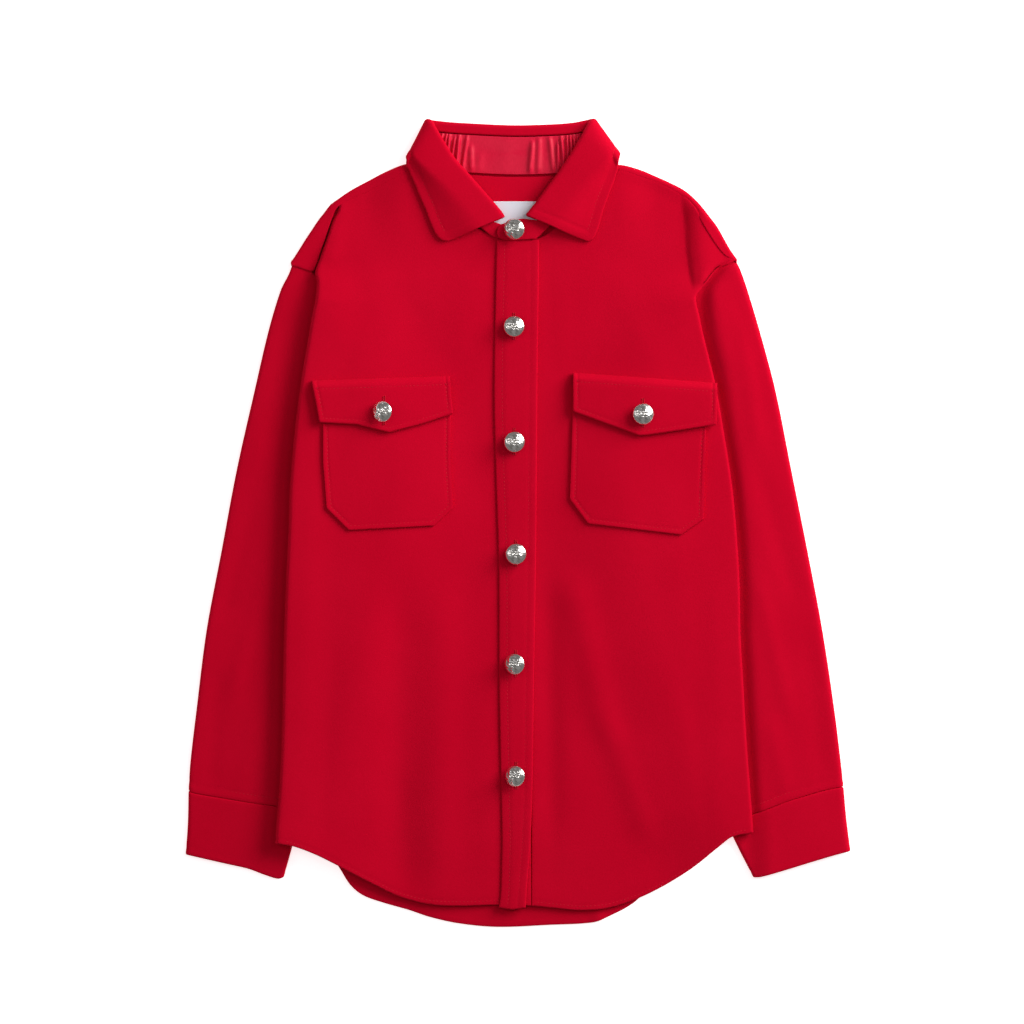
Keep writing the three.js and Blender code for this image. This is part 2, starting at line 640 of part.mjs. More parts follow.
function pocket(which) {
  const p = POCKETS[which];
  const onFront = (x, y) => frontTop(x, y) + LAY;
  const flapTop = line(p.flapTop, false);
  const across = (x) => Math.min(Math.max((x - p.flapTop[0][0]) / (p.flapTop[1][0] - p.flapTop[0][0]), 0), 1);
  const overPocket = (x, y) => onFront(x, y) + (CLOTH + FLAP_STANDS) * step((flapTop(across(x))[1] - y) / 8);
  return [
    slab(`pocket_${which}`, cornered(p.top, p.foot, [0, 0.15, 0.32, 0.5, 0.68, 0.85, 1]), onFront, CLOTH),
    slab(`flap_${which}`, cornered(p.flapTop, p.flapFoot, [0, 0.1, 0.22, 0.45, 0.72, 1], 13), overPocket, FLAP_CLOTH),
  ];
}

const placketFree = column(PLACKET, "y", "free");
const placketSeam = column(PLACKET, "y", "seam");
function placket() {
  const rows = 32;
  const plan = [...Array(rows + 1).keys()].map((i) => {
    const y = mix(282 - SEAM, PLACKET_END, i / rows);
    const point = i === rows ? -2 : 0; // the lower end has a slight point
    return [0, 0.33, 0.67, 1].map((u) => [
      mix(placketFree(y), placketSeam(y), u),
      y + point * (1 - Math.abs(2 * u - 1)),
    ]);
  });
  return slab("placket", plan, (x, y) => frontTop(x, y) + LAY, BAND_CLOTH);
}

function label() {
  const plan = [0, 0.25, 0.5, 0.75, 1].map((v) =>
    [0, 0.25, 0.5, 0.75, 1].map((u) => [mix(LABEL.left, LABEL.right, u), mix(LABEL.high, LABEL.low, v)]),
  );
  return slab("label", plan, (x, y) => lift(x, y) + CLOTH + LAY, SATIN);
}

// A collar station: the middle of its roll, its direction outwards under or over the neck, and the
// direction from the stand to the leaf, which turns from up, over the neck side, to down
function station(row) {
  const length = Math.hypot(row.dx, row.dy);
  const along = [row.dx / length, row.dy / length, 0];
  const turn = radians(row.turn);
  const sideways = row.dx < 0 ? [along[1], -along[0], 0] : [-along[1], along[0], 0];
  const across = [sideways[0] * Math.sin(turn), sideways[1] * Math.sin(turn), Math.cos(turn)];
  const radius = ROLL + COLLAR_CLOTH / 2;
  const centre = [row.x + along[0] * radius, row.y + along[1] * radius, row.z];
  const at = (a, b) => centre.map((c, k) => c + along[k] * a + across[k] * b);
  return { ...row, at, radius };
}
const STATIONS = COLLAR.map(station);

// The outer collar: from the edge of the leaf to the roll, over it, and a little way inside
function collar() {
  const outer = [];
  const inner = [];
  for (const s of STATIONS) {
    const reach = s.leaf - s.radius;
    const [x, y] = s.at(reach, 0);
    const lying = frontTop(x, y) + LAY + COLLAR_CLOTH / 2 - s.z;
    const edge = mix(lying, ROLL, step(s.turn / 60));
    const leafAt = (a) => mix(ROLL, edge, step((a - s.stand + s.radius + 2) / (reach - s.stand + s.radius - 2)));
    const leaf = [1, 0.84, 0.66, 0.46, 0.24, 0].map((share) => share * reach);
    const rowAt = (deep) => [
      ...leaf.map((a) => s.at(a, leafAt(a) + deep)),
      ...[55, 20, -20, -55, -90].map(radians).map((t) => {
        const r = ROLL + deep;
        return s.at(-r * Math.cos(t), r * Math.sin(t));
      }),
      s.at(ROLL_END, -ROLL - deep),
    ];
    outer.push(rowAt(COLLAR_CLOTH / 2));
    inner.push(rowAt(-COLLAR_CLOTH / 2));
  }
  return { name: "collar", outer, inner };
}

// The stand: a band from the roll down to the neck seam, with its two front ends one over the other
const STAND_LEVEL = ROLL - 0.5; // middle of its cloth, inside the roll
function collarStand() {
  const outer = [];
  const inner = [];
  const shares = [0, 0.25, 0.5, 0.75, 1];
  const endRows = (rows) =>
    rows.forEach((row) => {
      const rowAt = (deep) =>
        shares.map((t) => [mix(row.topX, row.footX, t), mix(row.topY, row.footY, t), row.z + deep]);
      outer.push(rowAt(CLOTH / 2));
      inner.push(rowAt(-CLOTH / 2));
    });
  endRows(STAND_END.right);
  for (const s of STATIONS) {
    const start = ROLL_END + 3 * SEAM;
    const end = s.stand - s.radius;
    const [x, y] = s.at(end, 0);
    const onFront = s.z - (frontTop(x, y) + LAY + CLOTH / 2);
    const onBack = lift(x, y) + CLOTH / 2 - s.z;
    const flat = s.turn < 90 ? onFront : onBack;
    const foot = mix(flat, STAND_LEVEL, Math.sin(radians(s.turn)) ** 0.5);
    const rowAt = (deep) =>
      shares.map((t) => s.at(mix(start, end, t), -mix(STAND_LEVEL, foot, step(t)) - deep));
    const up = s.turn < 90 ? -1 : 1;
    outer.push(rowAt(-CLOTH / 2));
    inner.push(rowAt(CLOTH / 2));
  }
  endRows(STAND_END.left);
  return { name: "collar_stand", outer, inner };
}

// A station between two rows of the table
function between(place) {
  const i = Math.min(Math.floor(place), STATIONS.length - 2);
  const row = Object.fromEntries(
    Object.keys(COLLAR[0]).map((name) => [name, mix(COLLAR[i][name], COLLAR[i + 1][name], place - i)]),
  );
  return station(row);
}

// Satin over the inside of the stand at the back of the neck, gathered into fine pleats at both ends
function lining() {
  const l = LINING;
  const outer = [];
  const inner = [];
  const count = 60;
  for (let i = 0; i <= count; i++) {
    const share = i / count;
    const s = between(mix(l.from, l.to, share));
    const gathered = step((Math.abs(2 * share - 1) - 0.35) / 0.4);
    const wave = l.pleatHeight * gathered * (0.5 + 0.5 * Math.sin(2 * Math.PI * l.pleats * share + Math.sin(17 * share)));
    const level = (t) => {
      const [x, y] = s.at(mix(l.start, l.end, t), 0);
      const stand = mix(STAND_LEVEL, lift(x, y) + CLOTH / 2 - s.z, step(t));
      return stand + CLOTH / 2 + LAY;
    };
    const shares = [0, 0.15, 0.85, 1];
    const rowAt = (deep) =>
      shares.map((t) => s.at(mix(l.start, l.end, t) - s.radius, -level(t) - deep - wave * Math.sin(Math.PI * t)));
    outer.push(rowAt(SATIN));
    inner.push(rowAt(0));
  }
  return { name: "neck_lining", outer, inner };
}

// A domed metal button on its shank, leaning as it lies
function button(row, under) {
  const b = BUTTON;
  const profile = [
    [0, 0],
    [b.shankRadius, 0],
    [b.shankRadius, b.shank],
    [b.radius * 0.9, b.shank + 0.4],
    [b.radius, b.shank + b.rim],
    [b.radius * 0.93, b.shank + b.rim + b.dome * 0.42],
    [b.radius * 0.68, b.shank + b.rim + b.dome * 0.78],
    [b.radius * 0.34, b.shank + b.rim + b.dome * 0.96],
    [0, b.shank + b.rim + b.dome],
  ].map(([r, z]) => new THREE.Vector2(r, z));
  const geometry = new THREE.LatheGeometry(profile, 14).rotateX(Math.PI / 2);
  const mesh = new THREE.Mesh(geometry, METAL);
  mesh.name = row.name;
  mesh.rotation.set(-row.leanY, row.leanX, 0);
  const sink = b.shankRadius * Math.hypot(row.leanX, row.leanY);
  mesh.position.set(row.x, row.y, under(row.x, row.y) + SEAM + sink);
  return mesh;
}

const WOOL = new THREE.MeshStandardMaterial({ color: 0xb80021, roughness: 0.95 });
const LINING_SATIN = new THREE.MeshStandardMaterial({ color: 0xc4203a, roughness: 0.4 });
const LABEL_CLOTH = new THREE.MeshStandardMaterial({ color: 0xe4e4ec, roughness: 0.7 });
const METAL = new THREE.MeshStandardMaterial({ color: 0xc9c5bd, roughness: 0.25, metalness: 1 });
const MATERIALS = { neck_lining: LINING_SATIN, label: LABEL_CLOTH };

const garment = new THREE.Group();
const pieces = [
  back(),
  front("front_right", UNDERLAP, side.rightFront, -179.8),
  front("front_left", UNDERLAP + SEAM, side.left, 216.5),
  placket(),
  ...arm("right"),
  ...arm("left"),
  ...pocket("right"),
  ...pocket("left"),
  collar(),
  collarStand(),
  lining(),
  label(),
];
for (const piece of pieces) {
  const mesh = new THREE.Mesh(solid(piece.outer, piece.inner, piece.ring), MATERIALS[piece.name] ?? WOOL);
  mesh.name = piece.name;
  garment.add(mesh);
}

// What each button is sewn to
const onPlacket = (x, y) => frontTop(x, y) + LAY + BAND_CLOTH;
const onFlap = (x, y) => frontTop(x, y) + LAY + CLOTH + FLAP_STANDS + FLAP_CLOTH;
const onTab = () => STAND_END.left[2].z + CLOTH / 2;
for (const row of BUTTONS) {
  const under = row.name === "button_1" ? onTab : row.name.startsWith("pocket") ? onFlap : onPlacket;
  garment.add(button(row, under));
}

export default garment;
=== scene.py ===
"""Looks of a wool shirt-jacket that lies flat on its back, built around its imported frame.

Each piece of cloth is one closed shell. Its middle surface is worked out on a grid of two
parameters in millimetres, and its thickness is laid along the surface's normal, thinning in a
half circle at the turned edges and pinched along the rows of topstitching.
+Z is up from the floor, +Y runs from the hem to the collar. Right and left are the wearer's.
"""

import bpy
import numpy as np
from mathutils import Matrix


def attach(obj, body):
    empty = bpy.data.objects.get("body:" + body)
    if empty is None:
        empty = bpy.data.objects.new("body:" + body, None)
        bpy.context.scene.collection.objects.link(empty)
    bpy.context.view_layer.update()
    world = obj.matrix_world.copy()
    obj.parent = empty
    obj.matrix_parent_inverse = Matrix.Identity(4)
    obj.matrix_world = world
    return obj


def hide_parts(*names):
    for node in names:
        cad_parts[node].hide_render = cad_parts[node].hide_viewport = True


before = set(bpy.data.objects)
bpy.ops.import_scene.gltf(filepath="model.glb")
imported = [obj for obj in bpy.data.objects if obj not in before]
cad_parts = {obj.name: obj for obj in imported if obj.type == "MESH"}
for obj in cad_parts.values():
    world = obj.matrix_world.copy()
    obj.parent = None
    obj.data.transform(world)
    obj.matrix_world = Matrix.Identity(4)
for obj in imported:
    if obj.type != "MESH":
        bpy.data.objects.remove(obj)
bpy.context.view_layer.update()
MM = 0.001

# Camera straight above, far away as for a catalogue picture
CAMERA = {"x": -6, "y": 11, "above": 4000, "across": 1024, "garment": 12, "sensor": 36}

# Cloth and clearances
CLOTH = 2.6  # heavy felted wool
COLLAR_CLOTH = 3.2  # two layers of wool, turned and stitched
CUFF_CLOTH = 3  # doubled cuff
BAND_CLOTH = 3.0  # placket, doubled
FLAP_CLOTH = 3.6  # pocket flap, doubled
SATIN = 0.8
SEAM = 0.35  # clear space between two pieces along a seam
LAY = 0.55  # clear space under a piece that lies on another
FLAP_STANDS = 1.5  # clear space between a pocket and its flap
SIDE_SEAM = 0.3  # between the turned edges of back and front, which are held only at the ends

# Hollow between back and fronts
SLACK = 1.2
SIDE_FOLD = {"right": 2.4, "left": 0.6, "width": 50}
BROAD_RISE = {"rise": 6.5, "width": 180}  # the right front rises to its side, over the sleeve
SHOULDER_FOLD = {"rise": 1.2, "width": 16}
HEM_RISE = {"rise": 0.7, "width": 36}

# Sleeve tube
PRESSED = 2 * CLOTH + 0.4  # height of a sleeve where the body lies on it
SLEEVE_LOFT = {"right": 1.7, "left": 4.0}  # how much higher it is beside the body
SLEEVE_RIDGE = {"right": 0, "left": 1.2}  # soft ridge along the body's edge
TUCK = {"right": {"from": 2, "width": 46}, "left": {"from": 1, "width": 10}}
LIFT_RAMP = 100  # width over which the body comes down from the sleeve to the floor

# Collar
ROLL = 2.6  # radius of the roll, at the middle of the cloth
ROLL_END = 7  # the outer cloth ends this far inside the roll
COLLAR_LIFT = {"height": 3.7, "low": 262, "high": 336, "centre": -7, "reach": 107, "fade": 40}
STAND_LEVEL = ROLL - 0.5  # middle of the stand's cloth, inside the roll
LEAF_CORNER = 5  # radius of the collar's points

# Metal buttons
BUTTON = {"radius": 10.75, "rim": 1.5, "dome": 5.4, "shank": 3.2, "shank_radius": 3.2}

# Topstitching: one stitch, how deep and wide it pulls the cloth in and how far the cloth swells beside
# it, and how far each row lies from its edge
STITCH = {"length": 2.7, "pitch": 3.8, "width": 0.62, "height": 0.24}
PULL = {"depth": 0.6, "width": 1.3, "bead": 0.28}
INSET = {
    "hem": 4.2, "placket": 8.2, "pocket": 4.6, "flap": 4.6, "flap_top": 9,
    "collar": 9.6, "cuff": 6, "sleeve": 8,
}
THINNEST = 0.4  # cloth under its stitches

# Body: the fold at a side is taller than wide, by this base and share of its radius
SIDE_REACH = {"base": 3.0, "share": 0.12}
QUARTER_TURN = [12, 24, 36, 48, 59, 68, 76, 83, 87.5, 90]  # steps of a front's turn down at its side
NECK_SPAN = (-104, 96)  # the fronts end at the neck between these, and at the shoulders outside them
FRONT_TOP_GAP = {"neck": 2.6, "shoulder": 1.8}
# Above this place the left front's columns keep to a line, so that they don't crowd at the armhole
ARMHOLE_CORNER = {"x": 178.5, "y": 226, "slope": 0.62}
HEM_SPAN = (-243, 236)
# The back's outermost flat columns, how far its turned sides reach past them, and the corners of the
# neck, beyond which its upper edge turns over the shoulders
BACK_COLUMNS = {"right": -223, "left": 215, "reach": 4.2}
NECK_CORNER = {"right": -97, "right_width": 9, "left": 90, "left_width": 8}
NECK_SLACK = 1.25

# Hollow between the left front's edge and its sleeve, below the armhole, and where the left cuff rises
LEFT_HOLLOW = {"x": 183, "width": 13, "low": 128, "low_width": 30, "high": 244, "high_width": 14}
LEFT_CUFF = {"from": 8, "width": 26}
CUFF_LOFT = {"right": 1.3, "left": 4.2}

# Placket and pockets are sewn down close. The placket's free edge lies lower, unevenly, and is thinner
SEWN_LAY = 0.25
PLACKET_TOP = 283.6
FREE_EDGE = {"sink": 0.55, "waves": 0.3, "width": 14, "thinner": 0.9, "thin_width": 12}


def table(columns, *rows):
    """Named columns of numbers, with a row for each section."""
    return dict(zip(columns, np.array(rows, float).T))


# Sides of the body, where it ends over the sleeves, from the shoulder tip to the hem.
# The right front ends at right_front, because the back comes over the shoulder there.
BODY_SIDE = table(
    ["y", "right", "right_front", "left"],
    [-400, -242.5, -242.5, 236],
    [-320, -242.5, -242.5, 236],
    [-265, -238.5, -238.5, 232.4],
    [-212, -236, -236, 228.5],
    [-156, -234.8, -234.8, 225.5],
    [-115, -234, -234, 223],
    [-62, -232, -232, 222],
    [-10, -229.5, -229.5, 219],
    [41, -227.5, -227.5, 214],
    [92, -223, -223, 206],
    [140, -217, -217, 197.5],
    [185, -209.5, -209.5, 186.5],
    [208, -205.5, -205.5, 181.5],
    [226, -202, -202, 178.5],
    [236, -201.5, -201.5, 185],
    [243, -202, -201.5, 191],
    [249, -205.5, -203, 195.5],
    [254, -214, -202.4, 200],
    [258, -225, -201, 205],
    [262, -227, -199.4, 217],
    [268, -227.3, -197.3, 219],
    [285, -227.3, -191.3, 219],
    [303, -227.3, -185.3, 219],
    [315, -227.3, -179.8, 219],
    [400, -227.3, -179.8, 219],
)

# Line of the fold along each side of the body, up to the shoulder, and how strongly the fronts rise to it
RIDGE = table(
    ["y", "right", "left", "strength"],
    [-400, -242.5, 236, 1],
    [-320, -242, 235.5, 1],
    [-212, -235.5, 228, 1],
    [-115, -233.5, 222.5, 1],
    [-10, -229, 218.5, 1],
    [92, -222.5, 205.5, 1],
    [140, -216.5, 197, 1],
    [185, -209, 186, 1],
    [208, -205, 181, 1],
    [226, -201.5, 178, 1],
    [244, -202, 175, 1],
    [258, -202.5, 173.5, 0.8],
    [285, -193, 169.5, 0.45],
    [315, -182.5, 166, 0.05],
    [330, -180, 165, 0],
    [400, -180, 165, 0],
)

# Lower edges
FRONT_HEM = table(
    ["x", "y"],
    [-242.5, -320], [-227, -323], [-206, -331], [-184, -342], [-150, -360], [-121, -374], [-89, -382],
    [-59, -383.5], [-21, -382.5], [7, -383], [40, -386], [64, -388], [94, -385], [133, -371], [173, -348],
    [206, -322], [217, -314], [236, -310],
)
BACK_HEM = table(
    ["x", "y"],
    [-242.5, -317], [-227, -320], [-206, -327], [-190, -334], [-181, -346], [-171, -362], [-158, -373],
    [-136, -381], [-111, -388], [-90, -395], [-60, -401.5], [-21, -405], [32, -403], [76, -400.5],
    [91, -395], [116, -382], [137, -364], [173, -343], [206, -318], [217, -311], [236, -307],
)

# Upper edges: the outline over the shoulders, the seam on the front of the shoulders, and the neck
SHOULDER = table(
    ["x", "outline", "seam"],
    [-227.3, 261, 257.8],
    [-222, 268.5, 256.4],
    [-212, 284.5, 253],
    [-204, 296.5, 252.5],
    [-199, 304, 267],
    [-193, 311.5, 285],
    [-187, 319.5, 303],
    [-182, 323, 315],
    [-168, 332.8, 323],
    [-150, 342.6, 331.6],
    [-132, 351.8, 340.5],
    [-112, 359.5, 350.5],
    [-104, 359, 352],
    [96, 358, 351],
    [104, 358.5, 352],
    [122, 353.8, 346.5],
    [137, 347.6, 341.5],
    [152.6, 340.6, 334.5],
    [166.4, 333.2, 325.5],
    [177, 324, 313],
    [183.2, 317, 301.8],
    [190.9, 307.2, 288.8],
    [198.5, 297.2, 277.3],
    [206.2, 283.5, 268.1],
    [212, 273.5, 264.5],
    [219, 264, 262.8],
)
NECK = table(
    ["x", "back", "front"],
    [-104, 355, 352],
    [-97, 355, 347],
    [-88, 354, 338],
    [-70, 351.5, 317],
    [-45, 349, 296],
    [-24, 347.5, 284.5],
    [-14, 347, 282],
    [14, 347, 282],
    [24, 347.5, 284],
    [42, 348.5, 297],
    [64, 350.5, 319],
    [80, 353, 339],
    [90, 355, 346],
    [96, 355, 351],
)

# Inner edges of the sleeves, hidden under the body, and how high the body lies over them
HIDDEN_SLEEVE = table(
    ["y", "right", "left", "lift"],
    [-420, -240, 242, PRESSED + 1.3],
    [-356, -235, 237, PRESSED + 1.3],
    [-292, -217, 208, PRESSED + 1.3],
    [-240, -199, 188, PRESSED + LAY + 0.3],
    [-180, -177, 166, PRESSED + LAY],
    [-120, -158, 148, PRESSED + LAY],
    [-60, -142, 132, PRESSED + LAY],
    [0, -130, 120, PRESSED + LAY],
    [53, -128, 118, PRESSED + LAY],
    [120, -148, 134, PRESSED + LAY],
    [160, -168, 150, PRESSED + LAY],
    [190, -186, 164, PRESSED + LAY],
    [208, -197, 174, PRESSED + LAY],
    [217, -201, 179, PRESSED + LAY],
    [223, -204, 184, PRESSED + LAY],
    [236, -205, 190, 3.6],
    [248, -207, 196, 1],
    [260, -210, 200, 0],
    [268, -210, 200, 0],
    [400, -210, 200, 0],
)

# Sleeves and cuffs: plan lines from the armhole to the wrist
ARM = {
    "right": {
        "outer": [
            [-226.2, 259.2], [-230, 249], [-238, 233], [-250, 193], [-264, 133], [-282, 53],
            [-297, -27], [-312, -107], [-322, -187], [-328, -240], [-329.5, -267],
        ],
        "inner": [
            [-128, 53], [-127, 20], [-130, 0], [-142, -60],
            [-158, -120], [-177, -180], [-199, -240], [-217, -289],
        ],
        "armhole": [
            [-226.2, 259.2], [-214, 255.4], [-205, 250.6], [-201, 244], [-199, 236], [-198.5, 226],
            [-197, 208], [-186, 190], [-168, 160], [-148, 120], [-133, 80], [-128, 53],
        ],
        "seam": [[-329.5, -267], [-327, -270], [-294, -276], [-263, -281], [-241, -284], [-217, -289]],
        "cuff_outer": [[-329, -268], [-330.5, -300], [-333, -332]],
        "cuff_inner": [[-217, -290], [-226, -323], [-235, -354.5]],
        "cuff_edge": [
            [-333, -332], [-294, -341], [-270, -346.5], [-254, -352.5], [-240, -356.5], [-235, -354.5],
        ],
    },
    "left": {
        "outer": [
            [218, 263.2], [222.6, 254], [230, 233], [242, 193], [258, 133], [274, 53],
            [290, -27], [305, -107], [317, -187], [323.5, -240], [326, -264],
        ],
        "inner": [
            [118, 53], [117, 20], [120, 0], [132, -60], [148, -120], [166, -180], [188, -240], [208, -299],
        ],
        "armhole": [
            [218, 263.2], [204.6, 259.2], [199.2, 255], [194.4, 250], [188, 244], [180.5, 237.6], [173, 230],
            [171, 214], [165, 190], [151, 160], [134, 120], [122, 80], [118, 53],
        ],
        "seam": [
            [326, -264], [310, -267], [292, -272], [269, -279], [250, -286.5], [236, -291.5], [208, -299],
        ],
        "cuff_outer": [[325.4, -265], [329, -297], [333, -328.5]],
        "cuff_inner": [[208, -300], [222, -328], [236, -355]],
        "cuff_edge": [[333, -328.5], [319, -332], [292, -340], [266, -348], [243, -354.5], [236, -355]],
    },
}

# Placket: its free edge and its seam
PLACKET = table(
    ["y", "free", "seam"],
    [-390, -20, 7.5],
    [-372, -17.5, 8.5],
    [-340, -16.5, 11],
    [-319, -16, 12.5],
    [-266, -17, 14.5],
    [-161, -19, 16],
    [-39, -19.5, 18],
    [73, -23, 19],
    [143, -24, 19.5],
    [259, -22, 21],
    [282, -21.5, 21],
)
PLACKET_END = -385
UNDERLAP = 13  # the right front ends here, under the placket

# Breast pockets: corners from the upper left, as the photograph's viewer sees them
POCKETS = {
    "right": {
        "top": [[-196.4, 131], [-67, 136]],
        "foot": [[-194.5, 60], [-191, 14], [-169, -7.5], [-84, -3], [-65, 15], [-67.5, 60]],
        "flap_top": [[-206, 142], [-68, 147.5]],
        "flap_foot": [
            [-206, 142], [-201.5, 120], [-198, 100], [-161, 98], [-129, 90], [-97, 98.5], [-65, 109],
            [-67, 128], [-68, 147.5],
        ],
    },
    "left": {
        "top": [[55, 138], [191, 131]],
        "foot": [[53, 48], [52, 23], [70, -1], [163, -12], [185.5, 4], [187, 60]],
        "flap_top": [[55, 150.5], [199, 140]],
        "flap_foot": [
            [55, 150.5], [55, 130], [55, 111], [88, 99], [121, 87], [129, 87.5], [160, 92], [198, 98],
            [198.5, 120], [199, 140],
        ],
    },
}

# Buttons: place, and the way each leans on its shank
BUTTONS = [dict(zip(("name", "x", "y", "lean_x", "lean_y", "hole"), row)) for row in (
    ["button_1", -2.7, 294, -0.24, -0.16, 13.8],
    ["button_2", -3.9, 196.4, 0, 0.02, 13.8],
    ["button_3", -3.6, 81, 0.02, 0, 13.8],
    ["button_4", -2, -31, 0, 0, 13.8],
    ["button_5", -2, -141, -0.34, 0, 13.8],
    ["button_6", -1.5, -253, -0.36, 0.02, 13.8],
    ["pocket_button_right", -133.5, 111, -0.42, 0, 15.5],
    ["pocket_button_left", 124.8, 108.7, 0, 0, 15.5],
)]

# Collar stations from the wearer's right front, round the neck, to the left front: the outside of the
# roll, the direction of the leaf from it, the leaf's length, its turn from lying on the front (0) over
# the neck side (90) to lying under the back (180), the height of the roll's middle, and the stand's length
COLLAR = table(
    ["x", "y", "dx", "dy", "leaf", "turn", "z", "stand"],
    [-12.5, 306, -62, -25.5, 66, 0, 12.4, 27],
    [-17.5, 313, -64.5, -26, 69, 0, 12.8, 27],
    [-26, 323, -62, -22, 66, 0, 13.4, 27],
    [-37, 335.5, -56, -22.5, 60, 0, 14.2, 27],
    [-48, 348, -50, -22, 55, 0, 15, 27],
    [-63, 365, -41, -25, 48, 0, 15.6, 29],
    [-75, 384, -34, -33, 47, 0, 15.6, 34],
    [-81, 394, -31, -37, 48, 4, 15.2, 36],
    [-85.5, 401.5, -26, -40.5, 46, 35, 13.8, 34],
    [-87.6, 403.6, -22, -41, 45, 65, 11.6, 36],
    [-88.4, 404, -19, -41, 44.5, 90, 9.4, 36],
    [-87.6, 404, -16, -41, 45, 115, 7.2, 36],
    [-85.8, 403.6, -13, -41, 46, 145, 5.2, 40],
    [-81, 403, -9, -42, 49, 176, 4.2, 45],
    [-66, 401.5, -5, -42, 54, 180, 4.2, 49],
    [-40, 400, -2, -42, 58, 180, 4.2, 50],
    [-3, 398.5, 0, -42, 60, 180, 4.2, 50],
    [34, 399.5, 2, -42, 58, 180, 4.2, 50],
    [54, 401, 5, -42, 54, 180, 4.2, 49],
    [65, 403, 9, -42, 49, 176, 4.2, 45],
    [70, 404, 14, -41, 46, 145, 5.2, 40],
    [72, 404.3, 19, -39, 45, 115, 7.2, 36],
    [73, 404, 24, -35, 45, 90, 9.4, 36],
    [72.3, 403, 27, -36, 46, 65, 11.6, 36],
    [70, 400, 30, -38, 48, 35, 13.8, 34],
    [65.5, 391.5, 33, -34, 50, 4, 15.2, 36],
    [59.5, 381, 38, -33, 51, 0, 15.6, 34],
    [49.5, 365, 45, -29, 53, 0, 15.6, 29],
    [38, 348, 50, -26, 57, 0, 15.2, 27],
    [28, 335, 56, -26, 62, 0, 15, 27],
    [19.5, 323, 61, -26, 67, 0, 14.8, 27],
    [12.5, 314, 64, -26, 70, 0, 14.6, 27],
    [7, 307.5, 66, -27, 71, 0, 14.4, 27],
)

# Front ends of the stand, past the collar leaves: its upper and lower edge, and the middle of its cloth
STAND_END = {
    "right": table(
        ["top_x", "top_y", "foot_x", "foot_y", "z"],
        [10, 301.5, 10, 283, 8],
        [0, 301.5, 0, 283, 8],
        [-10, 301, -14, 283.5, 8],
        [-17, 299, -27, 287, 8.6],
    ),
    "left": table(
        ["top_x", "top_y", "foot_x", "foot_y", "z"],
        [5, 304.5, 18, 284, 11.6],
        [-4, 303, 2, 283, 11.4],
        [-12, 300.5, -12, 282.8, 11.4],
        [-18, 297.5, -18.5, 285, 11.4],
        [-21, 293.5, -21.5, 289, 11.4],
    ),
}

# Neck lining and label
LINING = {"from": 13.4, "to": 18.6, "start": 12.2, "end": 49.6}
# Pleats of the lining: place and half width as shares of its length, rise, lean, and where it starts
PLEATS = table(
    ["at", "width", "rise", "lean", "start"],
    [0.035, 0.012, 1.1, 0.0, -0.5],
    [0.075, 0.010, 1.3, 0.01, -0.5],
    [0.112, 0.011, 1.4, -0.012, -0.5],
    [0.150, 0.009, 1.2, 0.015, 0.1],
    [0.187, 0.012, 1.3, 0.0, -0.5],
    [0.235, 0.010, 0.9, 0.02, -0.5],
    [0.275, 0.016, 0.7, -0.02, 0.3],
    [0.330, 0.022, 0.4, 0.02, 0.5],
    [0.455, 0.040, 0.2, 0.03, -0.5],
    [0.578, 0.011, 1.0, 0.018, 0.15],
    [0.612, 0.014, 0.7, 0.01, -0.5],
    [0.680, 0.013, 0.7, -0.015, -0.5],
    [0.722, 0.010, 1.0, 0.01, 0.2],
    [0.760, 0.012, 1.3, -0.01, -0.5],
    [0.805, 0.010, 1.2, 0.012, -0.5],
    [0.845, 0.012, 1.4, 0.0, -0.5],
    [0.888, 0.010, 1.2, -0.01, -0.5],
    [0.930, 0.012, 1.3, 0.012, -0.5],
    [0.968, 0.010, 1.0, 0.0, -0.5],
)
LABEL = {"left": -33, "right": 27, "low": 297, "high": 322, "sewn": 1.6}

# Largest soft folds: a line, its half width, and how far it rises (or sinks) from the fronts
FOLDS = table(
    ["x1", "y1", "x2", "y2", "width", "rise"],
    [-116, -262, -108, -372, 15, -0.7],
    [34, -90, 34, -350, 11, -0.6],
    [92, -217, 134, -318, 13, -0.6],
    [116, -212, 152, -300, 16, 0.8],
    [-150, -60, -172, -250, 22, 0.6],
    [-45, 250, -60, 170, 16, 0.6],
    [150, 40, 168, -120, 20, 0.5],
)
# Kink in the back's hem, which stands off the floor there
HEM_KINK = {"x": 82, "y": -404, "width": 7, "length": 24, "rise": 2.6}

# Finer creases of the fronts, which only the looks have, in the same form as the folds
CREASES = table(
    ["x1", "y1", "x2", "y2", "width", "rise"],
    [-150, 262, -118, 168, 17, 0.5],
    [-96, 214, -128, 160, 14, -0.35],
    [96, 250, 138, 150, 18, 0.5],
    [60, 230, 44, 120, 14, -0.3],
    [-52, 20, -64, -150, 20, 0.45],
    [-119, -70, -121, -360, 20, -2.2],
    [-77, -70, -79, -360, 20, 2.2],
    [-206, 20, -214, -220, 12, 0.4],
    [-182, -120, -196, -300, 10, -0.35],
    [54, -60, 84, -190, 17, 2.4],
    [84, -190, 132, -316, 15, 2.8],
    [28, -60, 34, -300, 13, -1.4],
    [196, -60, 204, -260, 12, 0.4],
    [172, -160, 190, -310, 9, -0.3],
    [30, 260, 34, 150, 9, -0.3],
    [-40, -180, -30, -370, 15, 0.35],
    [-176, 322, -188, 262, 9, 0.9],
)
